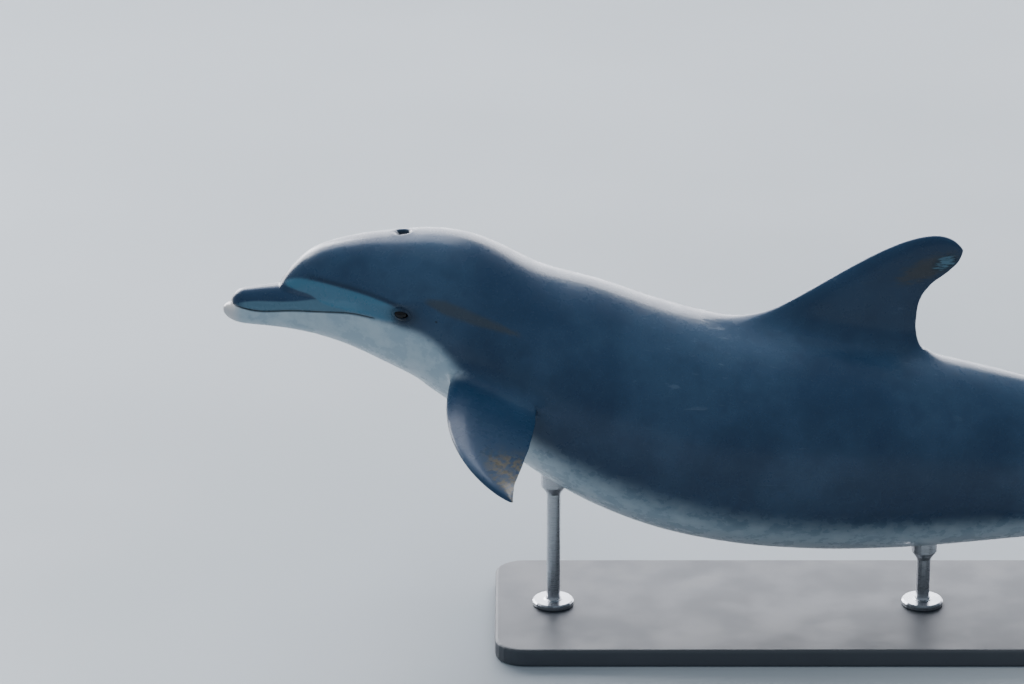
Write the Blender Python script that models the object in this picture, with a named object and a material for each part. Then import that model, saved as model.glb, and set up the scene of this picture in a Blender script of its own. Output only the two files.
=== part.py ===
"""A life-size bottlenose dolphin, still, with its head lifted, on a plain display stand.

Blender 4.5, metres, +Z up. The snout points along -X, and the left side faces -Y.

The body is one surface, body_point(s, angle). s is the distance behind the tip of the upper
jaw, measured along the spine, and the angle turns round the spine from the back (0) through
the flank (90 degrees) to the belly (180 degrees). The spine is bent by PITCH. Each piece of
the body is a length of that surface, closed by flat faces, with a thin gap to its neighbour.
"""

import math

import bmesh
import bpy
import numpy as np

# ---------------------------------------------------------------- driving dimensions
BODY_LENGTH = 2.50  # tip of the upper jaw to the notch of the flukes
GAP = 0.0003  # between pieces that touch
BELLY_CLEARANCE = 0.135  # lowest point of the belly above the stand's base

# Where the pitch of the spine is set: distance behind the snout, degrees nose-up.
PITCH = (
    ("snout", -0.02, 0.0),
    ("cheek", 0.16, 0.0),
    ("brow", 0.28, 0.0),
    ("nape", 0.38, 6.0),
    ("neck", 0.46, 25.0),
    ("shoulder", 0.56, 32.5),
    ("chest", 0.70, 27.0),
    ("ribs", 0.88, 18.0),
    ("loin", 1.10, 8.5),
    ("saddle", 1.35, 5.0),
    ("vent", 1.65, 5.5),
    ("stock", 2.00, 7.5),
    ("flukes", 2.50, 7.5),
)

# Cross-sections: distance behind the snout, height of the back above the spine, depth of the
# belly below it, half width, and how square (over 2) or keeled (under 2) back and belly are.
SECTIONS = (
    ("snout", -0.02, 0.142, 0.024, 0.0225, 2.3, 2.2),
    ("beak", 0.04, 0.144, 0.029, 0.0290, 2.3, 2.2),
    ("melon_foot", 0.10, 0.147, 0.035, 0.0400, 2.3, 2.2),
    ("melon", 0.17, 0.150, 0.048, 0.0600, 2.3, 2.2),
    ("cheek", 0.25, 0.156, 0.076, 0.0880, 2.25, 2.2),
    ("eye", 0.34, 0.163, 0.118, 0.1200, 2.15, 2.2),
    ("crown", 0.42, 0.171, 0.142, 0.1430, 2.1, 2.15),
    ("nape", 0.52, 0.162, 0.151, 0.1670, 2.1, 2.1),
    ("flipper", 0.62, 0.185, 0.170, 0.1870, 2.05, 2.1),
    ("chest", 0.80, 0.215, 0.205, 0.2090, 2.0, 2.1),
    ("girth", 1.00, 0.225, 0.222, 0.2140, 2.0, 2.1),
    ("saddle", 1.20, 0.222, 0.221, 0.2020, 1.95, 2.0),
    ("loin", 1.40, 0.203, 0.204, 0.1770, 1.90, 1.95),
    ("vent", 1.62, 0.170, 0.170, 0.1400, 1.80, 1.85),
    ("stock", 1.85, 0.130, 0.130, 0.0950, 1.65, 1.70),
    ("stock_mid", 2.05, 0.096, 0.096, 0.0600, 1.55, 1.60),
    ("stock_thin", 2.22, 0.066, 0.066, 0.0370, 1.60, 1.65),
    ("fluke_root", 2.34, 0.041, 0.041, 0.0270, 1.90, 1.90),
    ("notch", 2.50, 0.012, 0.012, 0.0110, 2.0, 2.0),
)

# Mouth: the lower jaw leads the upper one, and the line dips, rises and ends in a hook.
JAW_LEAD = 0.016
MOUTH_END = 0.277
MOUTH_LINE = (
    ("tip", -0.016, 0.016),
    ("lip", 0.0, 0.0155),
    ("dip", 0.045, 0.0075),
    ("mid", 0.11, 0.0110),
    ("smile", 0.19, 0.0170),
    ("rise", 0.25, 0.0200),
    ("hook", 0.277, 0.0170),
    ("eye", 0.34, 0.0120),
    ("neck", 0.46, 0.0),
    ("chest", 0.80, 0.0),
)
LIP_DOME, LIP_FADE = 0.005, 0.02  # rise of the lower lip before the upper jaw, and where it ends
TIP_DROP, TIP_DROP_LENGTH = 0.013, 0.045  # how far under the mouth line a section's centre lies
UPPER_TIP_LENGTH, LOWER_TIP_LENGTH = 0.026, 0.046  # over which the two jaws round off

# The melon grows out of the beak behind a crease that sweeps back round the sides. Distance
# behind the crease, share of the skull's height reached there, and how much it adds to the
# half width.
CREASE = 0.096
CREASE_SWEEP = 0.12
MELON = (
    ("crease", 0.0, 0.0, 0.003),
    ("foot", 0.009, 0.15, 0.004),
    ("front", 0.024, 0.35, 0.006),
    ("bulge", 0.046, 0.58, 0.009),
    ("brow", 0.075, 0.77, 0.011),
    ("top", 0.11, 0.88, 0.010),
    ("crown", 0.16, 0.96, 0.007),
    ("skull", 0.22, 1.0, 0.002),
    ("nape", 0.40, 1.0, 0.0),
)
BEAK_TOP, BEAK_TIP_RISE, BEAK_SLOPE = 0.0155, 0.0255, 0.14
LIP_SHAPE, BEAK_SHAPE = 2.6, 2.3  # how square the tops of the lower and the upper jaw are
BULGE_FADE = 0.4  # cosine of the angle below which the melon's extra width fades to the mouth

# Fins. Outlines are Bezier curves from root to tip, one for each edge. The dorsal fin's lie in
# the plane of symmetry: distance behind the snout, height over the line of the snout.
DORSAL_LEADING = ((0.900, -0.055), (1.070, -0.025), (1.225, 0.092), (1.365, 0.215), (1.438, 0.122))
DORSAL_TRAILING = ((1.400, -0.160), (1.325, -0.060), (1.330, 0.045), (1.410, 0.055), (1.437, 0.110))
DORSAL_THICKNESS = (0.048, 0.014)  # at root and tip

# Flippers: distance out from the body, distance behind the leading edge of the root.
FLIPPER_LEADING = ((-0.045, 0.004), (0.070, -0.022), (0.200, -0.035), (0.345, 0.020), (0.392, 0.116))
FLIPPER_TRAILING = ((-0.045, 0.148), (0.050, 0.170), (0.160, 0.178), (0.300, 0.115), (0.388, 0.124))
FLIPPER_THICKNESS = (0.034, 0.010)
FLIPPER_S, FLIPPER_ANGLE = 0.478, 113.0  # on the flank: behind the snout, degrees round from the back
FLIPPER_DROOP, FLIPPER_SWEEP, FLIPPER_PITCH = 11.0, 5.0, 14.0  # degrees

# Flukes: distance out from the spine, distance behind the notch.
FLUKE_LEADING = ((-0.010, -0.300), (0.040, -0.245), (0.165, -0.180), (0.275, -0.055), (0.309, 0.042))
FLUKE_TRAILING = ((-0.010, -0.020), (0.022, 0.060), (0.120, 0.014), (0.235, 0.012), (0.303, 0.050))
FLUKE_THICKNESS = (0.038, 0.008)

# Eye
EYE_S, EYE_HEIGHT, EYE_RADIUS, EYE_DEPTH = 0.338, 0.031, 0.0165, 0.0115

# Stand
BASE_LENGTH, BASE_WIDTH, BASE_HEIGHT = 1.16, 0.46, 0.036
BASE_CORNER, BASE_BEVEL = 0.06, 0.006
BASE_MIDDLE = 1.10  # behind the snout
ROD_RADIUS, FLANGE_RADIUS, FLANGE_HEIGHT, PAD_RADIUS = 0.014, 0.042, 0.012, 0.026
ROD_PLACES = (("front", 0.76), ("rear", 1.46))

# Lengths of the body behind the mouth: where each starts and ends, and its rings of facets.
LENGTHS = (
    ("head", MOUTH_END, 0.40, 8),
    ("neck", 0.40, 0.47, 5),
    ("trunk_front", 0.47, 0.98, 14),
    ("trunk_rear", 0.98, 1.55, 12),
    ("tail_stock", 1.55, BODY_LENGTH, 16),
)
HALF_RING = 16  # facets round half a section
LID_FACES = 6  # across the mouth
FIN_STEPS, FIN_RING = 11, 16  # along a fin and round it
FIN_EDGE = 0.0010  # thickness of the fins' thin edges
ROUND_FACES = 20  # round a rod and its flange
EYE_FACES = 12  # round an eyeball

MATERIALS = {  # colour, roughness, metallic
    "skin": ((0.085, 0.115, 0.155, 1.0), 0.30, 0.0),
    "skin_pale": ((0.42, 0.45, 0.48, 1.0), 0.32, 0.0),
    "fin_skin": ((0.050, 0.065, 0.085, 1.0), 0.32, 0.0),
    "eye": ((0.010, 0.008, 0.008, 1.0), 0.05, 0.0),
    "stand_board": ((0.050, 0.052, 0.056, 1.0), 0.45, 0.0),
    "stand_metal": ((0.55, 0.56, 0.58, 1.0), 0.30, 1.0),
}


# ---------------------------------------------------------------- curves and small helpers
def spline(rows, column):
    """A natural cubic spline through one column of a table of named places."""
    x = np.array([row[1] for row in rows])
    y = np.array([row[column] for row in rows])
    step = np.diff(x)
    slope = np.diff(y) / step
    system = np.eye(len(x))
    side = np.zeros(len(x))
    for i in range(1, len(x) - 1):
        system[i, i - 1 : i + 2] = step[i - 1], 2 * (step[i - 1] + step[i]), step[i]
        side[i] = 6 * (slope[i] - slope[i - 1])
    bend = np.linalg.solve(system, side)

    def value(at):
        at = np.clip(np.asarray(at, float), x[0], x[-1])
        i = np.clip(np.searchsorted(x, at) - 1, 0, len(x) - 2)
        right, left, h = at - x[i], x[i + 1] - at, step[i]
        curve = (bend[i] * left**3 + bend[i + 1] * right**3) / (6 * h)
        ends = (y[i] / h - bend[i] * h / 6) * left + (y[i + 1] / h - bend[i + 1] * h / 6) * right
        return curve + ends

    return value


def blunt(u):
    """A quarter ellipse: 0 at 0, rising steeply, and level from 1 on."""
    return np.sqrt(np.clip(1 - (1 - np.clip(u, 0, 1)) ** 2, 0, 1))


def smooth_step(u):
    u = np.clip(u, 0, 1)
    return u * u * (3 - 2 * u)


def bezier(points, t):
    """The points of a Bezier curve with any number of control points."""
    points = np.array(points, float)
    n = len(points) - 1
    t = np.asarray(t, float)[:, None]
    return sum(math.comb(n, k) * t**k * (1 - t) ** (n - k) * points[k] for k in range(n + 1))


# ---------------------------------------------------------------- the body's surface
pitch_at = spline(PITCH, 2)
back_at, belly_at, width_at, back_shape, belly_shape = (spline(SECTIONS, k) for k in range(2, 7))
mouth_at = spline(MOUTH_LINE, 2)
melon_at, bulge_at = spline(MELON, 2), spline(MELON, 3)

SPINE_S = np.arange(-0.02, BODY_LENGTH + 0.1, 0.001)
SPINE_PITCH = np.radians(pitch_at(SPINE_S))
SPINE_X = np.concatenate([[0], np.cumsum(np.cos(SPINE_PITCH[:-1]) * 0.001)]) - 0.02
SPINE_Z = -np.concatenate([[0], np.cumsum(np.sin(SPINE_PITCH[:-1]) * 0.001)])


def spine_frame(s):
    """Place of the spine and the direction of the back there, both as (x, 0, z)."""
    pitch = np.interp(s, SPINE_S, SPINE_PITCH)
    x, z = np.interp(s, SPINE_S, SPINE_X), np.interp(s, SPINE_S, SPINE_Z)
    zero = np.zeros_like(x)
    return np.stack([x, zero, z], -1), np.stack([np.sin(pitch), zero, np.cos(pitch)], -1)


def centre_at(s):
    """Height over the spine of the point that a section's angles turn about."""
    return mouth_at(s) - TIP_DROP * (1 - smooth_step(np.asarray(s) / TIP_DROP_LENGTH))


def oval(angle, up, down, width, shape_up, shape_down):
    """Radius of a section: an ellipse that is squarer or keeled towards back and belly."""
    cosine, sine = np.cos(angle), np.abs(np.sin(angle))
    reach = np.where(cosine > 0, up, down)
    shape = np.where(cosine > 0, shape_up, shape_down)
    power = 2 + (shape - 2) * cosine**2
    return ((sine / width) ** power + (np.abs(cosine) / reach) ** power) ** (-1 / power)


def jaw_radius(s, angle):
    """Distance of the lower jaw's skin from the section's centre."""
    centre, tip = centre_at(s), blunt((s + JAW_LEAD) / LOWER_TIP_LENGTH)
    dome = LIP_DOME * (1 - smooth_step(s / LIP_FADE))
    lip = np.maximum(mouth_at(s) + dome - centre, 0.004)
    belly = belly_at(s) * tip + centre
    return oval(angle, lip * tip, belly, width_at(s) * tip, LIP_SHAPE, belly_shape(s))


def beak_radius(s, angle):
    """Distance of the upper jaw's skin, with the melon and the skull that grow out of it."""
    centre, tip = centre_at(s), np.maximum(blunt(s / UPPER_TIP_LENGTH), 0.02)
    top = BEAK_TOP + BEAK_TIP_RISE * tip + BEAK_SLOPE * np.maximum(s, 0) - centre
    width, belly = width_at(s) * tip, belly_at(s) + centre
    below = np.where(s < 0.1, np.minimum(belly, 0.9 * width), belly)
    beak = oval(angle, top, below, width, BEAK_SHAPE, belly_shape(s))
    wide = width_at(s) + bulge_at(s - CREASE) * smooth_step(np.cos(angle) / BULGE_FADE)
    skull = oval(angle, back_at(s) - centre, belly, wide, back_shape(s), belly_shape(s))
    side = np.sin(np.minimum(angle, math.pi / 2))
    growth = np.minimum(melon_at(s - CREASE - CREASE_SWEEP * side**5), 1)
    return beak + (skull - beak) * growth


def body_radius(s, angle, jaw=True):
    """Distance of the skin from the section's centre, with the lower jaw or without it."""
    beak = np.where(s > 0, beak_radius(s, angle), 0.001)
    return np.maximum(beak, jaw_radius(s, angle)) if jaw else beak


def body_point(s, angle, proud=0.0, jaw=True):
    """Points of the skin. The angle is in radians, and over pi it comes back up the right side."""
    s, angle = np.broadcast_arrays(np.asarray(s, float), np.asarray(angle, float))
    folded = np.where(angle > math.pi, 2 * math.pi - angle, angle)
    radius = body_radius(s, folded, jaw) + proud
    place, up = spine_frame(s)
    height = centre_at(s) + radius * np.cos(angle)
    side = -radius * np.sin(angle)
    return place + up * height[..., None] + np.array([0, 1, 0]) * side[..., None]


def mouth_angle(s, jaw=True):
    """Angle at which a section meets the mouth line, found by halving."""
    rise = mouth_at(s) - centre_at(s)
    low, high = np.zeros_like(rise), np.full_like(rise, math.pi / 2)
    for _ in range(30):
        middle = (low + high) / 2
        above = body_radius(s, middle, jaw) * np.cos(middle) > rise
        low, high = np.where(above, middle, low), np.where(above, high, middle)
    return high


# ---------------------------------------------------------------- the fins' outlines
def dorsal_edge(points, t):
    edge = bezier(points, t)
    return np.stack([edge[:, 0], np.zeros(len(t)), edge[:, 1]], -1)


def dorsal_edges(t):
    """Leading and trailing edge, and the direction of the fin's thickness."""
    return dorsal_edge(DORSAL_LEADING, t), dorsal_edge(DORSAL_TRAILING, t), np.array([0.0, 1.0, 0.0])


def turned(vector, axis, degrees):
    """A vector turned about an axis (Rodrigues)."""
    c, s = math.cos(math.radians(degrees)), math.sin(math.radians(degrees))
    axis = np.array(axis, float)
    return vector * c + np.cross(axis, vector) * s + axis * (axis @ vector) * (1 - c)


def flipper_frame(side):
    """Root, outward, backward and thickness directions of a flipper; side is -1 left, 1 right."""
    root = body_point(FLIPPER_S, math.radians(FLIPPER_ANGLE))
    _, up = spine_frame(FLIPPER_S)
    out, aft = np.array([0.0, -1.0, 0.0]), np.array([up[2], 0.0, -up[0]])
    out = turned(out, aft, FLIPPER_DROOP)
    out, aft = turned(out, up, FLIPPER_SWEEP), turned(aft, up, FLIPPER_SWEEP)
    aft = turned(aft, out, FLIPPER_PITCH)
    mirror = np.array([1.0, -side, 1.0])
    return root * mirror, out * mirror, aft * mirror, np.cross(out, aft) * mirror


def flipper_edges(t, side=-1):
    root, out, aft, thick = flipper_frame(side)
    edges = [bezier(points, t) for points in (FLIPPER_LEADING, FLIPPER_TRAILING)]
    leading, trailing = (root + edge[:, :1] * out + edge[:, 1:] * aft for edge in edges)
    return leading, trailing, thick


def fluke_edges(t, side=-1):
    root, up = spine_frame(BODY_LENGTH)
    out, aft = np.array([0.0, side, 0.0]), np.array([up[2], 0.0, -up[0]])
    edges = [bezier(points, t) for points in (FLUKE_LEADING, FLUKE_TRAILING)]
    leading, trailing = (root + edge[:, :1] * out + edge[:, 1:] * aft for edge in edges)
    return leading, trailing, up


def eye_centre(side):
    """Centre of the eyeball, sunk into the head; side is -1 left, 1 right."""
    angle = math.pi / 2 - math.asin((EYE_HEIGHT - centre_at(EYE_S)) / width_at(EYE_S))
    return body_point(EYE_S, angle, -EYE_DEPTH) * np.array([1.0, -side, 1.0])


# ---------------------------------------------------------------- making the pieces
def material(name):
    """The named material, made once."""
    if name in bpy.data.materials:
        return bpy.data.materials[name]
    made = bpy.data.materials.new(name)
    made.use_nodes = True
    shader = made.node_tree.nodes["Principled BSDF"]
    colour, roughness, metallic = MATERIALS[name]
    shader.inputs["Base Color"].default_value = colour
    shader.inputs["Roughness"].default_value = roughness
    shader.inputs["Metallic"].default_value = metallic
    return made


def lofted(name, rings, finish):
    """A closed smooth piece through rings of points, with a flat face over each end."""
    rings = np.array(rings, float)
    count, around = rings.shape[:2]
    shell = bmesh.new()
    corners = [[shell.verts.new(point) for point in ring] for ring in rings]
    for i in range(count - 1):
        for j in range(around):
            k = (j + 1) % around
            shell.faces.new((corners[i][j], corners[i][k], corners[i + 1][k], corners[i + 1][j]))
    shell.faces.new(corners[0])
    shell.faces.new(corners[-1])
    bmesh.ops.recalc_face_normals(shell, faces=shell.faces)
    mesh = bpy.data.meshes.new(name)
    shell.to_mesh(mesh)
    shell.free()
    mesh.shade_smooth()
    mesh.set_sharp_from_angle(angle=math.radians(40))
    mesh.materials.append(material(finish))
    made = bpy.data.objects.new(name, mesh)
    bpy.context.collection.objects.link(made)
    made.parent = bpy.data.objects["dolphin_on_stand"]
    return made


def cut(target, cutter):
    """Cut one piece with another that is left out of the model."""
    cutter.hide_render = True
    cutter.display_type = "WIRE"
    modifier = target.modifiers.new("cut", "BOOLEAN")
    modifier.object = cutter
    modifier.operation = "DIFFERENCE"
    modifier.solver = "EXACT"


# Head and trunk
def full_rings(places, proud=0.0):
    angles = np.linspace(0, 2 * math.pi, 2 * HALF_RING, endpoint=False)
    return [body_point(np.full(len(angles), s), angles, proud) for s in places]


def lid(start, end):
    """Points strictly between the two corners of the mouth."""
    share = np.linspace(0, 1, LID_FACES + 1)[1:-1, None]
    return start * (1 - share) + end * share


def upper_ring(s):
    """A section above the mouth: the arc over the back, closed along the mouth line."""
    edge = float(mouth_angle(np.array(s), jaw=False)) - GAP / float(width_at(s))
    angles = np.mod(np.linspace(-edge, edge, HALF_RING + 1), 2 * math.pi)
    arc = body_point(np.full(len(angles), s), angles, jaw=False)
    return np.concatenate([arc, lid(arc[-1], arc[0])])


def lower_ring(s):
    """A section below the mouth: the arc round the belly, closed by the lower lip."""
    edge = float(mouth_angle(np.array(s)))
    angles = np.linspace(edge, 2 * math.pi - edge, HALF_RING + 1)
    arc = body_point(np.full(len(angles), s), angles)
    if s > 0:
        return np.concatenate([arc, lid(arc[-1], arc[0])])
    over = np.mod(np.linspace(-edge, edge, LID_FACES + 1)[1:-1], 2 * math.pi)
    return np.concatenate([arc, body_point(np.full(len(over), s), over)])


def places_between(start, end, steps):
    """Sections from one cut to the next, half a gap clear of both."""
    return np.linspace(start + GAP / 2, end - GAP / 2, steps + 1)


def make_beak_and_melon():
    tip = UPPER_TIP_LENGTH * (1 - np.cos(np.linspace(0.3, math.pi / 2, 7)))
    beak = np.concatenate([tip, places_between(0.038, CREASE, 5)])
    lofted("beak_upper", [upper_ring(s) for s in beak], "skin")
    length = MOUTH_END - CREASE - GAP
    melon = CREASE + GAP / 2 + length * np.linspace(0, 1, 13) ** 1.25
    lofted("melon", [upper_ring(s) for s in melon], "skin")


def make_lower_jaw():
    lip = (JAW_LEAD - GAP) * (1 - np.cos(np.linspace(0.18, math.pi / 2, 7))) - JAW_LEAD
    chin = np.linspace(GAP, MOUTH_END - GAP / 2, 19)
    lofted("jaw_lower", [lower_ring(s) for s in (*lip, *chin)], "skin_pale")


def make_eyes():
    """Eyeballs in sockets a gap wider."""
    for name, side in (("eye_left", -1), ("eye_right", 1)):
        lofted(name, ball(eye_centre(side), EYE_RADIUS), "eye")
        socket = lofted(name + "_socket", ball(eye_centre(side), EYE_RADIUS + GAP), "eye")
        cut(bpy.data.objects["head"], socket)


def ball(centre, radius):
    """Rings of a sphere about the sideways axis."""
    turn = np.linspace(0, 2 * math.pi, EYE_FACES, endpoint=False)
    circle = np.stack([np.cos(turn), 0 * turn, np.sin(turn)], -1)
    tilts = np.linspace(0.1, math.pi - 0.1, EYE_FACES // 2 + 2)
    return [centre + radius * (math.sin(a) * circle + [0, math.cos(a), 0]) for a in tilts]


def make_body():
    """The body. Returns the same surface a gap further out, which trims what touches the body."""
    make_beak_and_melon()
    make_lower_jaw()
    places = [places_between(start, end, steps) for _, start, end, steps in LENGTHS]
    for (name, *_), at in zip(LENGTHS, places):
        lofted(name, full_rings(at), "skin")
    make_eyes()
    places[-1][-1] += 2 * GAP
    return lofted("body_cutter", full_rings(np.concatenate(places), GAP), "skin")


# Fins
def fin_rings(edges):
    """Airfoil sections from root to tip, between a fin's leading and trailing edge."""
    leading, trailing, thick, thickness = edges
    turn = np.linspace(0, 2 * math.pi, FIN_RING, endpoint=False)
    c = (1 - np.cos(turn)) / 2
    airfoil = 5 * (0.2969 * np.sqrt(c) - 0.126 * c - 0.3516 * c**2 + 0.2843 * c**3 - 0.1015 * c**4)
    half = airfoil[:, None] * np.sign(np.sin(turn))[:, None]
    edge = FIN_EDGE / 2 * np.sin(turn)[:, None]
    return [
        front + c[:, None] * (back - front) + (half * depth + edge) * thick
        for front, back, depth in zip(leading, trailing, thickness)
    ]


def fin_thickness(t, root, tip):
    """Thickness from root to tip, rounded off at the very tip."""
    return (tip + (root - tip) * (1 - t)) * blunt((1 - t) / 0.12)


def make_fins(body_cutter):
    t = 1 - (1 - np.linspace(0, 1, FIN_STEPS + 1)) ** 1.5
    fins = {"dorsal_fin": (*dorsal_edges(t), fin_thickness(t, *DORSAL_THICKNESS))}
    for name, side in (("left", -1), ("right", 1)):
        fins["flipper_" + name] = (*flipper_edges(t, side), fin_thickness(t, *FLIPPER_THICKNESS))
        fins["fluke_" + name] = (*fluke_edges(t, side), fin_thickness(t, *FLUKE_THICKNESS))
    for name, edges in fins.items():
        cut(lofted(name, fin_rings(edges), "fin_skin"), body_cutter)


# Stand
def rounded_rectangle(inset, height):
    """One level of the base: its corners are arcs."""
    turn = np.radians(np.arange(0, 91, 15))
    radius = BASE_CORNER - inset
    points = []
    for k, (sx, sy) in enumerate(((1, 1), (-1, 1), (-1, -1), (1, -1))):
        a = turn + k * math.pi / 2
        x = sx * (BASE_LENGTH / 2 - BASE_CORNER) + radius * np.cos(a)
        y = sy * (BASE_WIDTH / 2 - BASE_CORNER) + radius * np.sin(a)
        points.append(np.stack([x + BASE_MIDDLE, y, np.full(len(a), height)], -1))
    return np.concatenate(points)


def make_base(top):
    """A flat board with rounded edges."""
    turn = np.radians((0, 30, 60, 90))
    insets, rises = BASE_BEVEL * (1 - np.cos(turn)), BASE_BEVEL * (1 - np.sin(turn))
    lower = [rounded_rectangle(i, top - BASE_HEIGHT + r) for i, r in zip(insets[::-1], rises[::-1])]
    upper = [rounded_rectangle(i, top - r) for i, r in zip(insets, rises)]
    lofted("stand_base", lower + upper, "stand_board")


def make_rods(top, body_cutter):
    """Turned rods: a flange on the board, the rod, and a pad that fits the belly."""
    turn = np.linspace(0, 2 * math.pi, ROUND_FACES, endpoint=False)
    circle = np.stack([np.cos(turn), np.sin(turn), 0 * turn], -1)
    for name, s in ROD_PLACES:
        belly = body_point(s, math.pi)
        height = belly[2] - top
        profile = (
            (FLANGE_RADIUS - 0.002, GAP),
            (FLANGE_RADIUS, GAP + 0.002),
            (FLANGE_RADIUS, FLANGE_HEIGHT - 0.003),
            (FLANGE_RADIUS - 0.003, FLANGE_HEIGHT),
            (ROD_RADIUS + 0.006, FLANGE_HEIGHT),
            (ROD_RADIUS + 0.002, FLANGE_HEIGHT + 0.002),
            (ROD_RADIUS, FLANGE_HEIGHT + 0.006),
            (ROD_RADIUS, height - 0.040),
            (ROD_RADIUS + 0.003, height - 0.034),
            (PAD_RADIUS, height - 0.022),
            (PAD_RADIUS, height + 0.040),
        )
        rings = [np.array([belly[0], 0, top + z]) + radius * circle for radius, z in profile]
        cut(lofted("stand_rod_" + name, rings, "stand_metal"), body_cutter)


def make_stand(body_cutter):
    trunk = np.array(full_rings(np.linspace(0.9, 1.6, 36)))
    top = trunk[..., 2].min() - BELLY_CLEARANCE
    make_base(top)
    make_rods(top, body_cutter)


def set_on_origin(root):
    """Move the model so that the origin is under its middle, at the foot of the stand."""
    pieces = [piece for piece in root.children if not piece.hide_render]
    corners = np.array([vertex.co for piece in pieces for vertex in piece.data.vertices])
    root.location.x = -(corners[:, 0].min() + corners[:, 0].max()) / 2
    root.location.z = -corners[:, 2].min()


def main():
    for old in list(bpy.data.objects):
        bpy.data.objects.remove(old)
    root = bpy.data.objects.new("dolphin_on_stand", None)
    bpy.context.collection.objects.link(root)
    body_cutter = make_body()
    make_fins(body_cutter)
    make_stand(body_cutter)
    set_on_origin(root)


main()
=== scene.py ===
"""The looks of a life-size bottlenose dolphin model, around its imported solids.

One skin replaces every solid of flesh. It is the surface that the solids have, at a finer grain,
but up to 13 mm fuller at nape and shoulder, and with a dorsal fin up to 7 mm off its solid's
outline. s is the distance behind the tip of the upper jaw, along the spine. The angle turns round
the spine from the back (0) through the flank to the belly (pi). The details of the head are shaped
on the skin, the fins are joined to it, and its markings are fields kept at its points. Lengths are
in metres.
"""

import math

import bpy
import numpy as np
from mathutils import Matrix, Vector
from mathutils.bvhtree import BVHTree
from mathutils.kdtree import KDTree


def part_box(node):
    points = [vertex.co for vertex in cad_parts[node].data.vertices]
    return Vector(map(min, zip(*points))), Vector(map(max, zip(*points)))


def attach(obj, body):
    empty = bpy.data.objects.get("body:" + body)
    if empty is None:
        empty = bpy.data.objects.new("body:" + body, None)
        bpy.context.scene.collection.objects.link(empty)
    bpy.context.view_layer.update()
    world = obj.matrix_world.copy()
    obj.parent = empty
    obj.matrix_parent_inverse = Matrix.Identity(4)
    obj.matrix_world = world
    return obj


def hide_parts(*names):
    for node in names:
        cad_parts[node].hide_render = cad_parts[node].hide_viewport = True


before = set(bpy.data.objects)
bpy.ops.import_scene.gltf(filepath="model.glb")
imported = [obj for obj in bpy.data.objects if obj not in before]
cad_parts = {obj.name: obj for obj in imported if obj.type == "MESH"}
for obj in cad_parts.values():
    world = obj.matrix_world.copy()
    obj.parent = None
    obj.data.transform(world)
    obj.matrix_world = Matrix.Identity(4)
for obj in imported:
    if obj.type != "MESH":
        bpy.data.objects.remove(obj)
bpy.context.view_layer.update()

# ---------------------------------------------------------------- the body
BODY_LENGTH = 2.50  # tip of the upper jaw to the notch of the flukes

PITCH = (  # distance behind the snout, degrees nose-up
    ("snout", -0.02, 0.0),
    ("cheek", 0.16, 0.0),
    ("brow", 0.28, 0.0),
    ("nape", 0.38, 6.0),
    ("neck", 0.46, 25.0),
    ("shoulder", 0.56, 32.5),
    ("chest", 0.70, 27.0),
    ("ribs", 0.88, 18.0),
    ("loin", 1.10, 8.5),
    ("saddle", 1.35, 5.0),
    ("vent", 1.65, 5.5),
    ("stock", 2.00, 7.5),
    ("flukes", 2.50, 7.5),
)

# Distance behind the snout, height of the back above the spine, depth of the belly below it,
# half width, and how square (over 2) or keeled (under 2) back and belly are.
SECTIONS = (
    ("snout", -0.02, 0.142, 0.024, 0.0225, 2.3, 2.2),
    ("beak", 0.04, 0.144, 0.029, 0.0290, 2.3, 2.2),
    ("melon_foot", 0.10, 0.147, 0.035, 0.0400, 2.3, 2.2),
    ("melon", 0.17, 0.150, 0.048, 0.0600, 2.3, 2.2),
    ("cheek", 0.25, 0.156, 0.076, 0.0880, 2.25, 2.2),
    ("eye", 0.34, 0.163, 0.118, 0.1200, 2.15, 2.2),
    ("crown", 0.42, 0.171, 0.142, 0.1430, 2.1, 2.15),
    ("nape", 0.52, 0.172, 0.151, 0.1670, 2.1, 2.1),
    ("flipper", 0.62, 0.198, 0.170, 0.1870, 2.05, 2.1),
    ("chest", 0.80, 0.218, 0.205, 0.2090, 2.0, 2.1),
    ("girth", 1.00, 0.225, 0.222, 0.2140, 2.0, 2.1),
    ("saddle", 1.20, 0.222, 0.221, 0.2020, 1.95, 2.0),
    ("loin", 1.40, 0.203, 0.204, 0.1770, 1.90, 1.95),
    ("vent", 1.62, 0.170, 0.170, 0.1400, 1.80, 1.85),
    ("stock", 1.85, 0.130, 0.130, 0.0950, 1.65, 1.70),
    ("stock_mid", 2.05, 0.096, 0.096, 0.0600, 1.55, 1.60),
    ("stock_thin", 2.22, 0.066, 0.066, 0.0370, 1.60, 1.65),
    ("fluke_root", 2.34, 0.041, 0.041, 0.0270, 1.90, 1.90),
    ("notch", 2.50, 0.012, 0.012, 0.0110, 2.0, 2.0),
)

JAW_LEAD = 0.016  # of the lower jaw before the upper one
MOUTH_END = 0.277
MOUTH_LINE = (
    ("tip", -0.016, 0.016),
    ("lip", 0.0, 0.0155),
    ("dip", 0.045, 0.0075),
    ("mid", 0.11, 0.0110),
    ("smile", 0.19, 0.0170),
    ("rise", 0.25, 0.0200),
    ("hook", 0.277, 0.0170),
    ("eye", 0.34, 0.0120),
    ("neck", 0.46, 0.0),
    ("chest", 0.80, 0.0),
)
LIP_DOME, LIP_FADE = 0.005, 0.02
TIP_DROP, TIP_DROP_LENGTH = 0.013, 0.045
UPPER_TIP_LENGTH, LOWER_TIP_LENGTH = 0.026, 0.046

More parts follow.
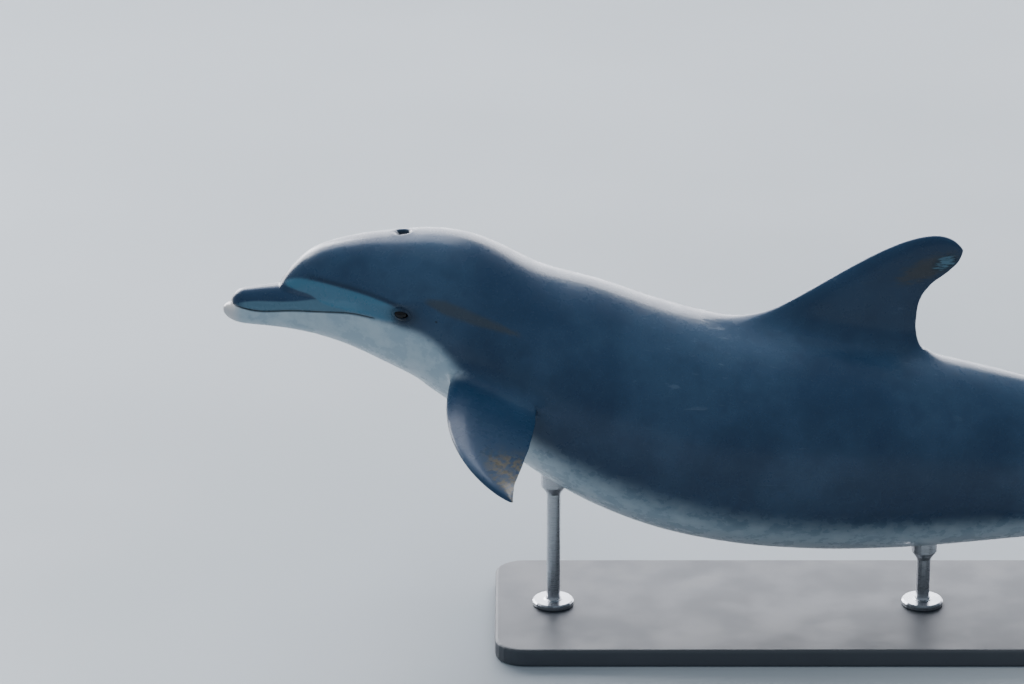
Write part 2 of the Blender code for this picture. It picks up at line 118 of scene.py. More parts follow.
CREASE, CREASE_SWEEP = 0.096, 0.12
MELON = (  # distance behind the crease, share of the skull's height, addition to the half width
    ("crease", 0.0, 0.0, 0.003),
    ("foot", 0.009, 0.15, 0.004),
    ("front", 0.024, 0.35, 0.006),
    ("bulge", 0.046, 0.58, 0.009),
    ("brow", 0.075, 0.77, 0.011),
    ("top", 0.11, 0.88, 0.010),
    ("crown", 0.16, 0.96, 0.007),
    ("skull", 0.22, 1.0, 0.002),
    ("nape", 0.40, 1.0, 0.0),
)
BEAK_TOP, BEAK_TIP_RISE, BEAK_SLOPE = 0.0155, 0.0255, 0.14
LIP_SHAPE, BEAK_SHAPE = 2.6, 2.3
BULGE_FADE = 0.4

DORSAL_LEADING = ((0.900, -0.055), (1.070, -0.025), (1.127, 0.022), (1.374, 0.234), (1.440, 0.124))
DORSAL_TRAILING = ((1.400, -0.160), (1.325, -0.060), (1.329, 0.095), (1.422, 0.040), (1.440, 0.120))
DORSAL_THICKNESS = (0.048, 0.014)
FLIPPER_LEADING = ((-0.045, 0.004), (0.070, -0.022), (0.200, -0.035), (0.345, 0.020), (0.392, 0.118))
FLIPPER_TRAILING = ((-0.045, 0.148), (0.050, 0.170), (0.160, 0.178), (0.300, 0.115), (0.391, 0.1215))
FLIPPER_THICKNESS = (0.034, 0.010)
FLIPPER_S, FLIPPER_ANGLE = 0.478, 113.0
FLIPPER_DROOP, FLIPPER_SWEEP, FLIPPER_PITCH = 11.0, 5.0, 14.0
FLUKE_LEADING = ((-0.010, -0.300), (0.040, -0.245), (0.165, -0.180), (0.275, -0.055), (0.309, 0.0445))
FLUKE_TRAILING = ((-0.010, -0.020), (0.022, 0.060), (0.120, 0.014), (0.235, 0.012), (0.307, 0.048))
FLUKE_THICKNESS = (0.038, 0.008)

EYE_S, EYE_HEIGHT, EYE_RADIUS, EYE_DEPTH = 0.338, 0.031, 0.0165, 0.0115

# ---------------------------------------------------------------- the skin's own details
HOOK_DROP, HOOK_START, HOOK_LENGTH = 0.007, 0.252, 0.030  # the corner of the mouth turns down
MOUTH_WIDTH, MOUTH_DEPTH = 0.0016, 0.0032
GROOVE_END, GROOVE_FADE = 0.279, 0.012
LIP_ROLLS = ((0.0009, 0.0050, 0.0030), (0.0011, -0.0050, 0.0032))  # height, place over mouth, width
MIDLINE_REACH = 0.003  # closer to the midline than this, details keep their own side
LIP_BLEND = 0.005  # how softly the sides of the upper jaw's tip run into the lower jaw
LID_LENGTH, LID_HEIGHT, LID_TILT = 0.0125, 0.0066, -6.0  # half sizes of the eye's opening, degrees
LID_THICKNESS, LID_REACH = 0.0011, 0.020  # LID_REACH: from the opening to the plain skin
BLOWHOLE_S, BLOWHOLE_RADIUS, BLOWHOLE_HALF_ARC = 0.334, 0.0095, 100.0
BLOWHOLE_WIDTH, BLOWHOLE_DEPTH = 0.0046, 0.013
EAR_S, EAR_RISE = 0.402, 0.022
SLIT, VENT, NAVEL_S = (1.600, 1.745), (1.775, 1.800), 1.245  # on the belly's midline
SLIT_WIDTH, SLIT_DEPTH, NAVEL_RADIUS = 0.0028, 0.0035, 0.007

# Rows of the skin's grid: start, end and spacing along the spine.
ROWS = (
    (UPPER_TIP_LENGTH, 0.092, 0.0035),
    (0.092, 0.125, 0.0018),
    (0.125, 0.245, 0.0035),
    (0.245, 0.305, 0.0025),
    (0.305, 0.360, 0.0015),
    (0.360, 0.440, 0.0050),
    (0.440, 0.600, 0.0060),
    (0.600, 0.900, 0.0120),
    (0.900, 1.450, 0.0100),
    (1.450, 2.200, 0.0160),
    (2.200, 2.410, 0.0060),
)
# Columns of the grid: angle in degrees where each band ends, and its number of columns. The
# bands above end on the mouth line.
BANDS_ABOVE = ((8.0, 14), (40.0, 8), (66.0, 16), (90.0, 20))
BANDS_BELOW = ((97.0, 8), (130.0, 20), (174.0, 14), (180.0, 4))
TAIL_HIDDEN = 0.025  # the body ends this far before the notch, inside the flukes
BEFORE_MEETING = (-0.0015, -0.0007)  # rows of the lower jaw close before the upper one
LEAST_SHARE = 0.1  # of the columns above the mouth, whose places at the very front are alike
LEAST_LINE = 0.20  # radians: the mouth's column stays this far from the midline before the mouth
EYE_WINDOW = (0.030, 11.5, 10.5)  # half length, degrees above and below: filled by the eye's rings


# ---------------------------------------------------------------- curves and small helpers
def spline(rows, column, place=1):
    """A natural cubic spline through one column of a table, over its column of places."""
    x = np.array([row[place] for row in rows])
    y = np.array([row[column] for row in rows])
    step = np.diff(x)
    slope = np.diff(y) / step
    system = np.eye(len(x))
    side = np.zeros(len(x))
    for i in range(1, len(x) - 1):
        system[i, i - 1 : i + 2] = step[i - 1], 2 * (step[i - 1] + step[i]), step[i]
        side[i] = 6 * (slope[i] - slope[i - 1])
    bend = np.linalg.solve(system, side)

    def value(at):
        at = np.clip(np.asarray(at, float), x[0], x[-1])
        i = np.clip(np.searchsorted(x, at) - 1, 0, len(x) - 2)
        right, left, h = at - x[i], x[i + 1] - at, step[i]
        curve = (bend[i] * left**3 + bend[i + 1] * right**3) / (6 * h)
        ends = (y[i] / h - bend[i] * h / 6) * left + (y[i + 1] / h - bend[i + 1] * h / 6) * right
        return curve + ends

    return value


def blunt(u):
    """A quarter ellipse: 0 at 0, rising steeply, and level from 1 on."""
    return np.sqrt(np.clip(1 - (1 - np.clip(u, 0, 1)) ** 2, 0, 1))


def smooth_step(u):
    u = np.clip(u, 0, 1)
    return u * u * (3 - 2 * u)


def hump(distance, width):
    """1 on a line or at a place, fading to 0 with distance from it."""
    return np.exp(-((np.asarray(distance) / width) ** 2))


def between(x, start, end, fade):
    """1 from start to end, fading over a length at both."""
    return smooth_step((x - start) / fade) * smooth_step((end - x) / fade)


def bezier(points, t):
    points = np.array(points, float)
    n = len(points) - 1
    t = np.asarray(t, float)[:, None]
    return sum(math.comb(n, k) * t**k * (1 - t) ** (n - k) * points[k] for k in range(n + 1))


def unit(vectors):
    return vectors / np.maximum(np.linalg.norm(vectors, axis=-1, keepdims=True), 1e-12)


def nearest(points, targets):
    """Index of the nearest target to each point, and its distance."""
    tree = KDTree(len(targets))
    for k, target in enumerate(targets):
        tree.insert(target, k)
    tree.balance()
    found = [tree.find(point) for point in points]
    return np.array([f[1] for f in found]), np.array([f[2] for f in found])


# ---------------------------------------------------------------- the body's surface
pitch_at = spline(PITCH, 2)
back_at, belly_at, width_at, back_shape, belly_shape = (spline(SECTIONS, k) for k in range(2, 7))
mouth_at = spline(MOUTH_LINE, 2)
melon_at, bulge_at = spline(MELON, 2), spline(MELON, 3)

SPINE_START, SPINE_STEP = -0.02, 0.001
SPINE_S = np.arange(SPINE_START, BODY_LENGTH + 0.1, SPINE_STEP)
SPINE_PITCH = np.radians(pitch_at(SPINE_S))
SPINE_X = np.concatenate([[0], np.cumsum(np.cos(SPINE_PITCH[:-1]) * SPINE_STEP)]) + SPINE_START
SPINE_Z = -np.concatenate([[0], np.cumsum(np.sin(SPINE_PITCH[:-1]) * SPINE_STEP)])


def spine_frame(s):
    """Place of the spine and the direction of the back there, both as (x, 0, z)."""
    pitch = np.interp(s, SPINE_S, SPINE_PITCH)
    x, z = np.interp(s, SPINE_S, SPINE_X), np.interp(s, SPINE_S, SPINE_Z)
    zero = np.zeros_like(x)
    return np.stack([x, zero, z], -1), np.stack([np.sin(pitch), zero, np.cos(pitch)], -1)


def centre_at(s):
    """Height over the spine of the point that a section's angles turn about."""
    return mouth_at(s) - TIP_DROP * (1 - smooth_step(np.asarray(s) / TIP_DROP_LENGTH))


def oval(angle, up, down, width, shape_up, shape_down):
    cosine, sine = np.cos(angle), np.abs(np.sin(angle))
    reach = np.where(cosine > 0, up, down)
    shape = np.where(cosine > 0, shape_up, shape_down)
    power = 2 + (shape - 2) * cosine**2
    return ((sine / width) ** power + (np.abs(cosine) / reach) ** power) ** (-1 / power)


def jaw_radius(s, angle):
    """Distance of the lower jaw's skin from the section's centre."""
    centre, tip = centre_at(s), blunt((s + JAW_LEAD) / LOWER_TIP_LENGTH)
    dome = LIP_DOME * (1 - smooth_step(s / LIP_FADE))
    lip = np.maximum(mouth_at(s) + dome - centre, 0.004)
    belly = belly_at(s) * tip + centre
    return oval(angle, lip * tip, belly, width_at(s) * tip, LIP_SHAPE, belly_shape(s))


def beak_radius(s, angle):
    """Distance of the upper jaw's skin, with the melon and the skull that grow out of it."""
    centre, tip = centre_at(s), np.maximum(blunt(s / UPPER_TIP_LENGTH), 0.02)
    top = BEAK_TOP + BEAK_TIP_RISE * tip + BEAK_SLOPE * np.maximum(s, 0) - centre
    width, belly = width_at(s) * tip, belly_at(s) + centre
    below = np.where(s < 0.1, np.minimum(belly, 0.9 * width), belly)
    beak = oval(angle, top, below, width, BEAK_SHAPE, belly_shape(s))
    wide = width_at(s) + bulge_at(s - CREASE) * smooth_step(np.cos(angle) / BULGE_FADE)
    skull = oval(angle, back_at(s) - centre, belly, wide, back_shape(s), belly_shape(s))
    side = np.sin(np.minimum(angle, math.pi / 2))
    growth = np.minimum(melon_at(s - CREASE - CREASE_SWEEP * side**5), 1)
    return beak + (skull - beak) * growth


def body_radius(s, angle):
    """Distance of the skin from the section's centre; the lips run into each other at the sides."""
    beak = np.where(s > 0, beak_radius(s, angle), 0.001)
    jaw = jaw_radius(s, angle)
    soft = LIP_BLEND * between(s, 0.003, 0.026, 0.010) * smooth_step((1.75 - angle) / 0.45)
    overlap = np.clip(soft - np.abs(beak - jaw), 0, None)
    return np.maximum(beak, jaw) + overlap**2 / (4 * np.maximum(soft, 1e-6))


def body_point(s, angle, proud=0.0):
    """Points of the left side of the body, in the body's own frame."""
    s, angle = np.broadcast_arrays(np.asarray(s, float), np.asarray(angle, float))
    radius = body_radius(s, angle) + proud
    place, up = spine_frame(s)
    height = centre_at(s) + radius * np.cos(angle)
    side = -radius * np.sin(angle)
    return place + up * height[..., None] + np.array([0, 1, 0]) * side[..., None]


def body_normal(s, angle):
    """Outward direction, by differences along and round the body; level on the midline."""
    step = np.clip(0.1 * np.abs(s), 2e-5, 0.0005)
    along = body_point(s + step, angle) - body_point(np.maximum(s - step, -JAW_LEAD + 1e-5), angle)
    turn = 0.004
    low, high = np.maximum(angle - turn, 0), np.minimum(angle + turn, math.pi)
    normal = unit(np.cross(body_point(s, high) - body_point(s, low), along))
    most = body_radius(s, angle) * np.sin(angle) / MIDLINE_REACH
    normal[..., 1] = np.clip(normal[..., 1], -most, most)
    return unit(normal)


def groove_rise(s):
    """Height of the mouth's groove over the section's centre, with the hook at its corner."""
    hook = HOOK_DROP * smooth_step((s - HOOK_START) / HOOK_LENGTH)
    return mouth_at(s) - centre_at(s) - hook * (1 - smooth_step((s - MOUTH_END - 0.01) / 0.03))


def last_angle(s, holds):
    """Largest angle in each section at which a condition still holds, found by halving."""
    low, high = np.zeros_like(s), np.full_like(s, 1.8)
    for _ in range(30):
        middle = (low + high) / 2
        true = holds(s, middle)
        low, high = np.where(true, middle, low), np.where(true, high, middle)
    return high


def groove_angle(s):
    """Angle of the mouth's groove: where the jaws meet at the very front, then at its own height."""
    s = np.asarray(s, float)
    level = last_angle(s, lambda s, angle: body_radius(s, angle) * np.cos(angle) > groove_rise(s))
    meeting = last_angle(s, lambda s, angle: (s > 0) & (beak_radius(s, angle) > jaw_radius(s, angle)))
    return np.minimum(level, meeting)


# ---------------------------------------------------------------- the fins' outlines
def dorsal_edges(t):
    edges = [bezier(points, t) for points in (DORSAL_LEADING, DORSAL_TRAILING)]
    return *(np.insert(edge, 1, 0.0, axis=1) for edge in edges), np.array([0.0, 1.0, 0.0])


def turned(vector, axis, degrees):
    """A vector turned about an axis (Rodrigues)."""
    c, s = math.cos(math.radians(degrees)), math.sin(math.radians(degrees))
    axis = np.array(axis, float)
    return vector * c + np.cross(axis, vector) * s + axis * (axis @ vector) * (1 - c)


def flipper_frame(side):
    root = body_point(FLIPPER_S, math.radians(FLIPPER_ANGLE))
    _, up = spine_frame(FLIPPER_S)
    out, aft = np.array([0.0, -1.0, 0.0]), np.array([up[2], 0.0, -up[0]])
    out = turned(out, aft, FLIPPER_DROOP)
    out, aft = turned(out, up, FLIPPER_SWEEP), turned(aft, up, FLIPPER_SWEEP)
    aft = turned(aft, out, FLIPPER_PITCH)
    mirror = np.array([1.0, -side, 1.0])
    return root * mirror, out * mirror, aft * mirror, np.cross(out, aft) * mirror


def spread(outlines, t, root, out, aft):
    """Both edges of a fin that spreads out and back from its root."""
    edges = [bezier(points, t) for points in outlines]
    return [root + edge[:, :1] * out + edge[:, 1:] * aft for edge in edges]


def flipper_edges(t, side):
    root, out, aft, thick = flipper_frame(side)
    return *spread((FLIPPER_LEADING, FLIPPER_TRAILING), t, root, out, aft), thick


def fluke_edges(t, side):
    root, up = spine_frame(BODY_LENGTH)
    out, aft = np.array([0.0, side, 0.0]), np.array([up[2], 0.0, -up[0]])
    return *spread((FLUKE_LEADING, FLUKE_TRAILING), t, root, out, aft), up


EYE_ANGLE = float(math.pi / 2 - math.asin((EYE_HEIGHT - centre_at(EYE_S)) / width_at(EYE_S)))


def eye_centre(side):
    return body_point(EYE_S, EYE_ANGLE, -EYE_DEPTH) * np.array([1.0, -side, 1.0])


# The body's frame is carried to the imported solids' frame by where the left eye is.
eye_low, eye_high = (np.array(corner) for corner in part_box("eye_left"))
SHIFT = (eye_low + eye_high) / 2 - eye_centre(-1)


# ---------------------------------------------------------------- details of the head
def arc_from(s, angle, line):
    """Distance round the skin from a line given by its angle at each section; + is upwards."""
    return body_radius(s, line) * (line - angle)


def mouth_curve():
    """Points along the line where the jaws meet, from the middle of the front to the corner."""
    s = np.concatenate([0.01 * np.linspace(0, 1, 100) ** 2, np.arange(0.01, 0.292, 0.0004)])
    return body_point(s, groove_angle(s))


def mouth_groove(s, angle):
    """Share of the mouth's full depth, 1 on its line."""
    _, away = nearest(body_point(s, angle), mouth_curve())
    depth = 0.55 + 0.45 * smooth_step(s / 0.03)
    return depth * hump(away, MOUTH_WIDTH) * (1 - smooth_step((s - GROOVE_END) / GROOVE_FADE))


def lip_swell(s, angle):
    """Rounded lips on both sides of the mouth."""
    away = arc_from(s, angle, groove_angle(s))
    fade = between(s, 0.02, 0.285, 0.03)
    return sum(height * hump(away - place, width) for height, place, width in LIP_ROLLS) * fade


def blowhole_place(s, angle):
    """Distance from the blowhole's crescent, and from the middle of its circle."""
    back, side = s - BLOWHOLE_S, body_radius(s, angle) * angle
    radius, turn = np.hypot(back, side), np.arctan2(side, back)
    half = math.radians(BLOWHOLE_HALF_ARC)
    tip = BLOWHOLE_RADIUS * np.array([math.cos(half), math.sin(half)])
    past = np.hypot(back - tip[0], side - tip[1])
    return np.where(turn < half, np.abs(radius - BLOWHOLE_RADIUS), past), radius


def blowhole_relief(s, angle):
    away, radius = blowhole_place(s, angle)
    slit = -BLOWHOLE_DEPTH * np.maximum(hump(away, BLOWHOLE_WIDTH), 0.7 * hump(radius, 0.0075))
    rim = 0.0012 * hump(radius - BLOWHOLE_RADIUS - 0.008, 0.008)
    return slit + rim - 0.0015 * hump(radius, 0.03)


def belly_slit(s, angle):
    """Share of full depth of the slits on the midline of the belly, and of the navel."""
    side = body_radius(s, angle) * (math.pi - angle)
    slit = hump(side, SLIT_WIDTH) * between(s, *SLIT, 0.02)
    vent = hump(side, SLIT_WIDTH) * between(s, *VENT, 0.008)
    navel = hump(np.hypot(side, (s - NAVEL_S) / 1.6), NAVEL_RADIUS)
    return np.maximum(np.maximum(slit, vent), 0.6 * navel)


def soft_swell(s, angle):
    """Low, wide unevenness of blubber and muscle."""
    swell = np.sin(23 * s + 2 * angle) + np.sin(41 * s - 5 * angle + 1) + np.sin(13 * s + 7 * angle + 2)
    return 0.00035 * swell * smooth_step((s - 0.30) / 0.3) * np.sin(angle)


def eye_offset(s, angle):
    """Distance back and up from the middle of the eye, along the skin."""
    radius = float(body_radius(EYE_S, EYE_ANGLE))
    return s - EYE_S, radius * (EYE_ANGLE - angle)


def face_swell(s, angle):
    """The mound that the eye sits on, the brow over it and the hollow in front of it."""
    back, up = eye_offset(s, angle)
    mound = 0.0030 * hump(np.hypot(back, up), 0.024)
    brow = 0.0022 * hump(up - 0.024 - 0.15 * back, 0.010) * hump(back - 0.002, 0.040)
    hollow = -0.0018 * hump(np.hypot((back + 0.045) / 1.8, up + 0.004), 0.016)
    return mound + brow + hollow


def relief(s, angle):
    """How far the details stand out of the plain body."""
    lips = lip_swell(s, angle) - MOUTH_DEPTH * mouth_groove(s, angle)
    belly = -SLIT_DEPTH * belly_slit(s, angle)
    return lips + blowhole_relief(s, angle) + belly + soft_swell(s, angle) + face_swell(s, angle)


# ---------------------------------------------------------------- the skin's grid
def grid_rows():
    """Places of the grid's rows: dense rings over both rounded jaw tips, then ROWS."""
    edge = math.acos(1 - JAW_LEAD / LOWER_TIP_LENGTH)
    lower = LOWER_TIP_LENGTH * (1 - np.cos(np.linspace(0.07, edge, 12)[:-1])) - JAW_LEAD
    steps = np.concatenate([np.linspace(0, 0.9, 22), np.linspace(0.9, math.pi / 2, 10)[1:-1]])
    rows = [lower, BEFORE_MEETING, UPPER_TIP_LENGTH * (1 - np.cos(steps))]
    for start, end, step in ROWS:
        rows.append(np.linspace(start, end, round((end - start) / step), endpoint=False))
    tail = ROWS[-1][1]
    rows.append(tail + (BODY_LENGTH - TAIL_HIDDEN - tail) * np.sin(np.linspace(0, 1.48, 14)))
    return np.concatenate(rows)


def band_shares(bands, start):
    """Even columns within each band, as angles in degrees."""
    marks = [np.array([start])]
    for end, count in bands:
        marks.append(np.linspace(marks[-1][-1], end, count + 1)[1:])
    return np.concatenate(marks)


def grid_places():
    """Place along the spine and angle of each point of the grid.

    One column runs along the mouth's groove. The first row behind the snout is bent to run along
    the front of the groove, where the jaws meet, and the rows over the upper tip bend with it.
    """
    above = band_shares(BANDS_ABOVE, 0.0) / 90
    below = (band_shares(BANDS_BELOW, 90.0) - 90)[1:] / 90
    front = np.linspace(0, 0.002, 400)
    shares = np.clip(np.append(above, 1 + 0 * below), LEAST_SHARE, 1)
    meeting = np.interp(LEAST_LINE * shares, groove_angle(front), front)
    rows = grid_rows()[:, None]
    turn = np.arccos(1 - np.clip(rows / UPPER_TIP_LENGTH, 0, 1))
    first = np.arccos(1 - meeting / UPPER_TIP_LENGTH)
    bent = UPPER_TIP_LENGTH * (1 - np.cos(first + (1 - 2 * first / math.pi) * turn))
    s = np.where((rows >= 0) & (rows < UPPER_TIP_LENGTH), bent, rows)
    line = np.maximum(groove_angle(s[:, len(above) - 1]), LEAST_LINE)[:, None]
    return s, np.concatenate([line * above, line + (math.pi - line) * below], 1)


def eye_ring_points(loop, share):
    """Points between the opening of the eye (share 0) and a loop of the grid round it (1).

    The inner rings keep one distance from the opening, as the folds of the lids do. Each point is
    back + up * 1j. The second result is the distance from the opening, the third 1 over the eye.
    """
    turn = np.arctan2(loop.imag / np.abs(loop.imag).max(), loop.real / np.abs(loop.real).max())
    tilt = np.exp(1j * math.radians(LID_TILT))
    opening = tilt * (LID_LENGTH * np.cos(turn) + 1j * LID_HEIGHT * np.sin(turn))
    outward = tilt * (LID_HEIGHT * np.cos(turn) + 1j * LID_LENGTH * np.sin(turn))
    ring = opening + outward / np.abs(outward) * LID_REACH * share
    ring += (opening + (loop - opening) * share - ring) * smooth_step(2 * share - 1)
    return ring, np.abs(ring - opening), 0.5 + 0.5 * np.sin(turn)


def eyeball_height(point, normal):
    """How far out along the normal the eyeball's surface is; a cone carries it on past its side."""
    away = point - eye_centre(-1)
    along = (away * normal).sum(-1)
    off_axis = np.sqrt(np.maximum((away**2).sum(-1) - along**2, 0))
    cone, rise = 0.66 * EYE_RADIUS, 0.75 * EYE_RADIUS
    ball = np.sqrt(np.maximum(EYE_RADIUS**2 - np.minimum(off_axis, cone) ** 2, 0))
    return ball - np.maximum(off_axis - cone, 0) * cone / rise - along


# Rings from the grid in to the lid's edge, closest together over the lids and their folds.
LID_SHARES = np.concatenate([np.linspace(1, 0.6, 9)[1:], np.linspace(0.6, 0, 20)[1:]])
SOCKET_RINGS = ((0.985, 0.0004), (0.955, 0.0016), (0.93, 0.004), (0.80, 0.009), (0.40, 0.015))


def window_loop(i0, i1, j0, j1):
    """Places of the grid round a window, in order."""
    loop = [(i, j0) for i in range(i0, i1)] + [(i1, j) for j in range(j0, j1)]
    return loop + [(i, j1) for i in range(i1, i0, -1)] + [(i0, j) for j in range(j1, j0, -1)]


def lid_relief(out, upper, plain, ball):
    """Height of the lids: their edge lies on the eyeball, and folds run round it."""
    lid = np.maximum(ball, -0.0022) + LID_THICKNESS
    lid += 0.0005 * hump(out - 0.0018, 0.0012)
    fold = -(0.0012 * upper + 0.0008) * hump(out - 0.0058 - 0.0008 * upper, 0.0013)
    fold += -0.0007 * hump(out - 0.0100, 0.0015) * (0.4 + 0.6 * upper)
    fold += -0.0006 * hump(out - 0.0140, 0.0018) * (1 - upper)
    return plain + (lid - plain) * hump(out, 0.0052) + fold * (1 - hump(out, 0.003))


def eye_patch(rows, angles, window):
    """Rings round the eye that fill a window of the grid: lids outside, a socket within."""
    loop = window_loop(*window)
    s = np.array([rows[i] for i, _ in loop])
    angle = np.array([angles[i, j] for i, j in loop])
    back, up = eye_offset(s, angle)
    scale = float(body_radius(EYE_S, EYE_ANGLE))
    places, heights = [], []
    for share in LID_SHARES:
        ring_place, out, upper = eye_ring_points(back + 1j * up, share)
        edge_s, edge_angle = EYE_S + ring_place.real, EYE_ANGLE - ring_place.imag / scale
        point, normal = body_point(edge_s, edge_angle), body_normal(edge_s, edge_angle)
        ball = eyeball_height(point, normal)
        places.append((edge_s, edge_angle))
        heights.append(lid_relief(out, upper, relief(edge_s, edge_angle), ball))
    margin_height = heights[-1]
    for size, depth in SOCKET_RINGS:
        ring_s = EYE_S + (edge_s - EYE_S) * size
        ring_angle = EYE_ANGLE + (edge_angle - EYE_ANGLE) * size
        places.append((ring_s, ring_angle))
        heights.append(margin_height - depth)
    return loop, places, heights


def half_skin():
    """The left half of the body: where each vertex lies on the surface, its height, and faces."""
    rows = grid_rows()
    grid_s, angles = grid_places()
    count, across = angles.shape
    s, angle = grid_s.ravel(), angles.ravel()
    height = relief(s, angle)
    index = np.arange(count * across).reshape(count, across)

    reach, above, below = EYE_WINDOW
    i0, i1 = np.searchsorted(rows, (EYE_S - reach, EYE_S + reach))
    limits = EYE_ANGLE - math.radians(above), EYE_ANGLE + math.radians(below)
    j0, j1 = np.searchsorted(angles[np.searchsorted(rows, EYE_S)], limits)
    loop, places, heights = eye_patch(rows, angles, (i0, i1, j0, j1))
    faces = [
        (index[i, j], index[i, j + 1], index[i + 1, j + 1], index[i + 1, j])
        for i in range(count - 1)
        for j in range(across - 1)
        if not (i0 <= i < i1 and j0 <= j < j1)
    ]
    ring = np.array([index[i, j] for i, j in loop])
    start = len(s)
    for (ring_s, ring_angle), ring_height in zip(places, heights):
        inner = start + np.arange(len(ring))
        nxt, inner_nxt = np.roll(ring, -1), np.roll(inner, -1)
        faces += list(zip(ring, inner, inner_nxt, nxt))
        s, angle = np.append(s, ring_s), np.append(angle, ring_angle)
        height = np.append(height, ring_height)
        ring, start = inner, start + len(ring)
    faces.append(tuple(ring[::-1]))
    return s, angle, height, faces, index


TAIL_ROUND = ROWS[-1][1]  # behind this place the body rounds off between the flukes


def skin_point(s, angle, height):
    """Points of the finished skin of the left side, with its details and its rounded end."""
    point = body_point(s, angle) + body_normal(s, angle) * height[:, None]
    point[np.abs(point[:, 1]) < 1e-9, 1] = 0
    place, up = spine_frame(s)
    centre = place + up * centre_at(s)[:, None]
    past = np.clip((s - TAIL_ROUND) / (BODY_LENGTH - TAIL_HIDDEN - TAIL_ROUND), 0, 1)
    return centre + (point - centre) * np.sqrt(1 - past**2)[:, None]


def pole(s):
    """Where the rings of the grid close, at the snout and between the flukes."""
    place, up = spine_frame(s)
    return place + up * float(centre_at(s))


def whole_body():
    """Points, faces and surface places of the body: the left half and its mirror image."""
    s, angle, height, faces, index = half_skin()
    point = skin_point(s, angle, height)
    middle = np.abs(point[:, 1]) < 1e-9
    count = len(point)
    twin = np.where(middle, np.arange(count), np.arange(count) + count)
    faces = [tuple(face) for face in faces]
    faces += [tuple(twin[list(face)][::-1]) for face in faces]
    tail_end = BODY_LENGTH - TAIL_HIDDEN
    points = np.concatenate([point, point * [1, -1, 1], [pole(-JAW_LEAD)], [pole(tail_end)]])
    for ring, end, order in ((index[0], 2 * count, 1), (index[-1], 2 * count + 1, -1)):
        loop = np.concatenate([ring, twin[ring[1:-1]][::-1]])
        for a, b in zip(loop, np.roll(loop, -1)):
            faces.append((end, b, a)[::order])
    ends = np.array([-JAW_LEAD, tail_end])
    s, angle = np.concatenate([s, s, ends]), np.concatenate([angle, angle, [math.pi / 2] * 2])
    used = np.zeros(len(points), bool)
    for face in faces:
        used[list(face)] = True
    new = np.cumsum(used) - 1
    faces = [tuple(int(new[k]) for k in face) for face in faces]
    return points[used], faces, s[used], angle[used]


# ---------------------------------------------------------------- the fins
FIN_STEPS, FIN_RING, FIN_EDGE = 54, 52, 0.0010
FAIRING = {"dorsal": 0.050, "flipper": 0.036, "fluke": 0.040}  # reach of the rounded fin roots
NOTCH_THINNING = (2.24, 0.14)  # x where that reach starts to shrink, and over which length
SEAM_GAP = 2e-6  # a point farther than this from every earlier point lies on a seam
RELAX_REACH, RELAX_ROUNDS = 0.020, 8


def fin_thickness(t, root, tip):
    return (tip + (root - tip) * (1 - t)) * blunt((1 - t) / 0.12)


def fin_surface(edges, thickness, ripple):
    """Airfoil sections from root to tip, and the share of the chord at each point."""
    t = 1 - (1 - np.linspace(0, 1, FIN_STEPS + 1)) ** 1.5
    leading, trailing, thick = edges(t)
    chord = np.linalg.norm(trailing - leading, axis=-1, keepdims=True)
    wave = np.sin(19 * t + 1) + np.sin(33 * t + 2) + 0.6 * np.sin(57 * t)
    trailing = trailing + (trailing - leading) / chord * (ripple * wave * smooth_step(t * 3))[:, None]
    turn = np.linspace(0, 2 * math.pi, FIN_RING, endpoint=False)
    c = (1 - np.cos(turn)) / 2
    airfoil = 5 * (0.2969 * np.sqrt(c) - 0.126 * c - 0.3516 * c**2 + 0.2843 * c**3 - 0.1015 * c**4)
    half = airfoil * np.sign(np.sin(turn))
    depth = fin_thickness(t, *thickness)[:, None] * half + FIN_EDGE / 2 * np.sin(turn)
    points = leading[:, None] + c[:, None] * (trailing - leading)[:, None] + depth[..., None] * thick
    return points.reshape(-1, 3), np.repeat(t, FIN_RING), np.tile(c, len(t)), np.tile(np.sin(turn), len(t))


def tube_faces(steps, ring):
    """Faces of a tube of rings, closed at both ends."""
    faces = [tuple(range(ring)), tuple(range(steps * ring, (steps + 1) * ring))[::-1]]
    for i in range(steps):
        for j in range(ring):
            k = (j + 1) % ring
            a, b = i * ring, (i + 1) * ring
            faces.append((a + k, a + j, b + j, b + k))
    return faces


def all_fins():
    """Name of each fin, its kind, and its points with their share of span and chord."""
    fins = [("dorsal", "dorsal", *fin_surface(dorsal_edges, DORSAL_THICKNESS, 0.0003))]
    for name, side in (("left", -1), ("right", 1)):
        flipper = fin_surface(lambda t: flipper_edges(t, side), FLIPPER_THICKNESS, 0.0004)
        fluke = fin_surface(lambda t: fluke_edges(t, side), FLUKE_THICKNESS, 0.0006)
        fins.append(("flipper_" + name, "flipper", *flipper))
        fins.append(("fluke_" + name, "fluke", *fluke))
    return fins


# ---------------------------------------------------------------- joining body and fins
def linked(name, data):
    """A new object in the scene."""
    made = bpy.data.objects.new(name, data)
    bpy.context.scene.collection.objects.link(made)
    return made


def mesh_object(name, points, faces, uvs=None):
    mesh = bpy.data.meshes.new(name)
    mesh.from_pydata([tuple(p) for p in points], [], faces)
    if uvs is not None:
        layer = mesh.uv_layers.new(name="OFBake")
        layer.data.foreach_set("uv", np.asarray(uvs, np.float32).ravel())
    mesh.update()
    return linked(name, mesh)


def keep_fields(mesh, fields):
    """Numbers at a mesh's points, for its material."""
    for name, values in fields.items():
        layer = mesh.attributes.new(name, "FLOAT", "POINT")
        layer.data.foreach_set("value", np.asarray(values, np.float32))


def vertex_array(mesh):
    points = np.empty(len(mesh.vertices) * 3)
    mesh.vertices.foreach_get("co", points)
    return points.reshape(-1, 3)


def move_points(mesh, points):
    mesh.vertices.foreach_set("co", points.ravel())
    mesh.update()


def surface_tree(mesh):
    return BVHTree.FromPolygons([v.co for v in mesh.vertices], [p.vertices for p in mesh.polygons])


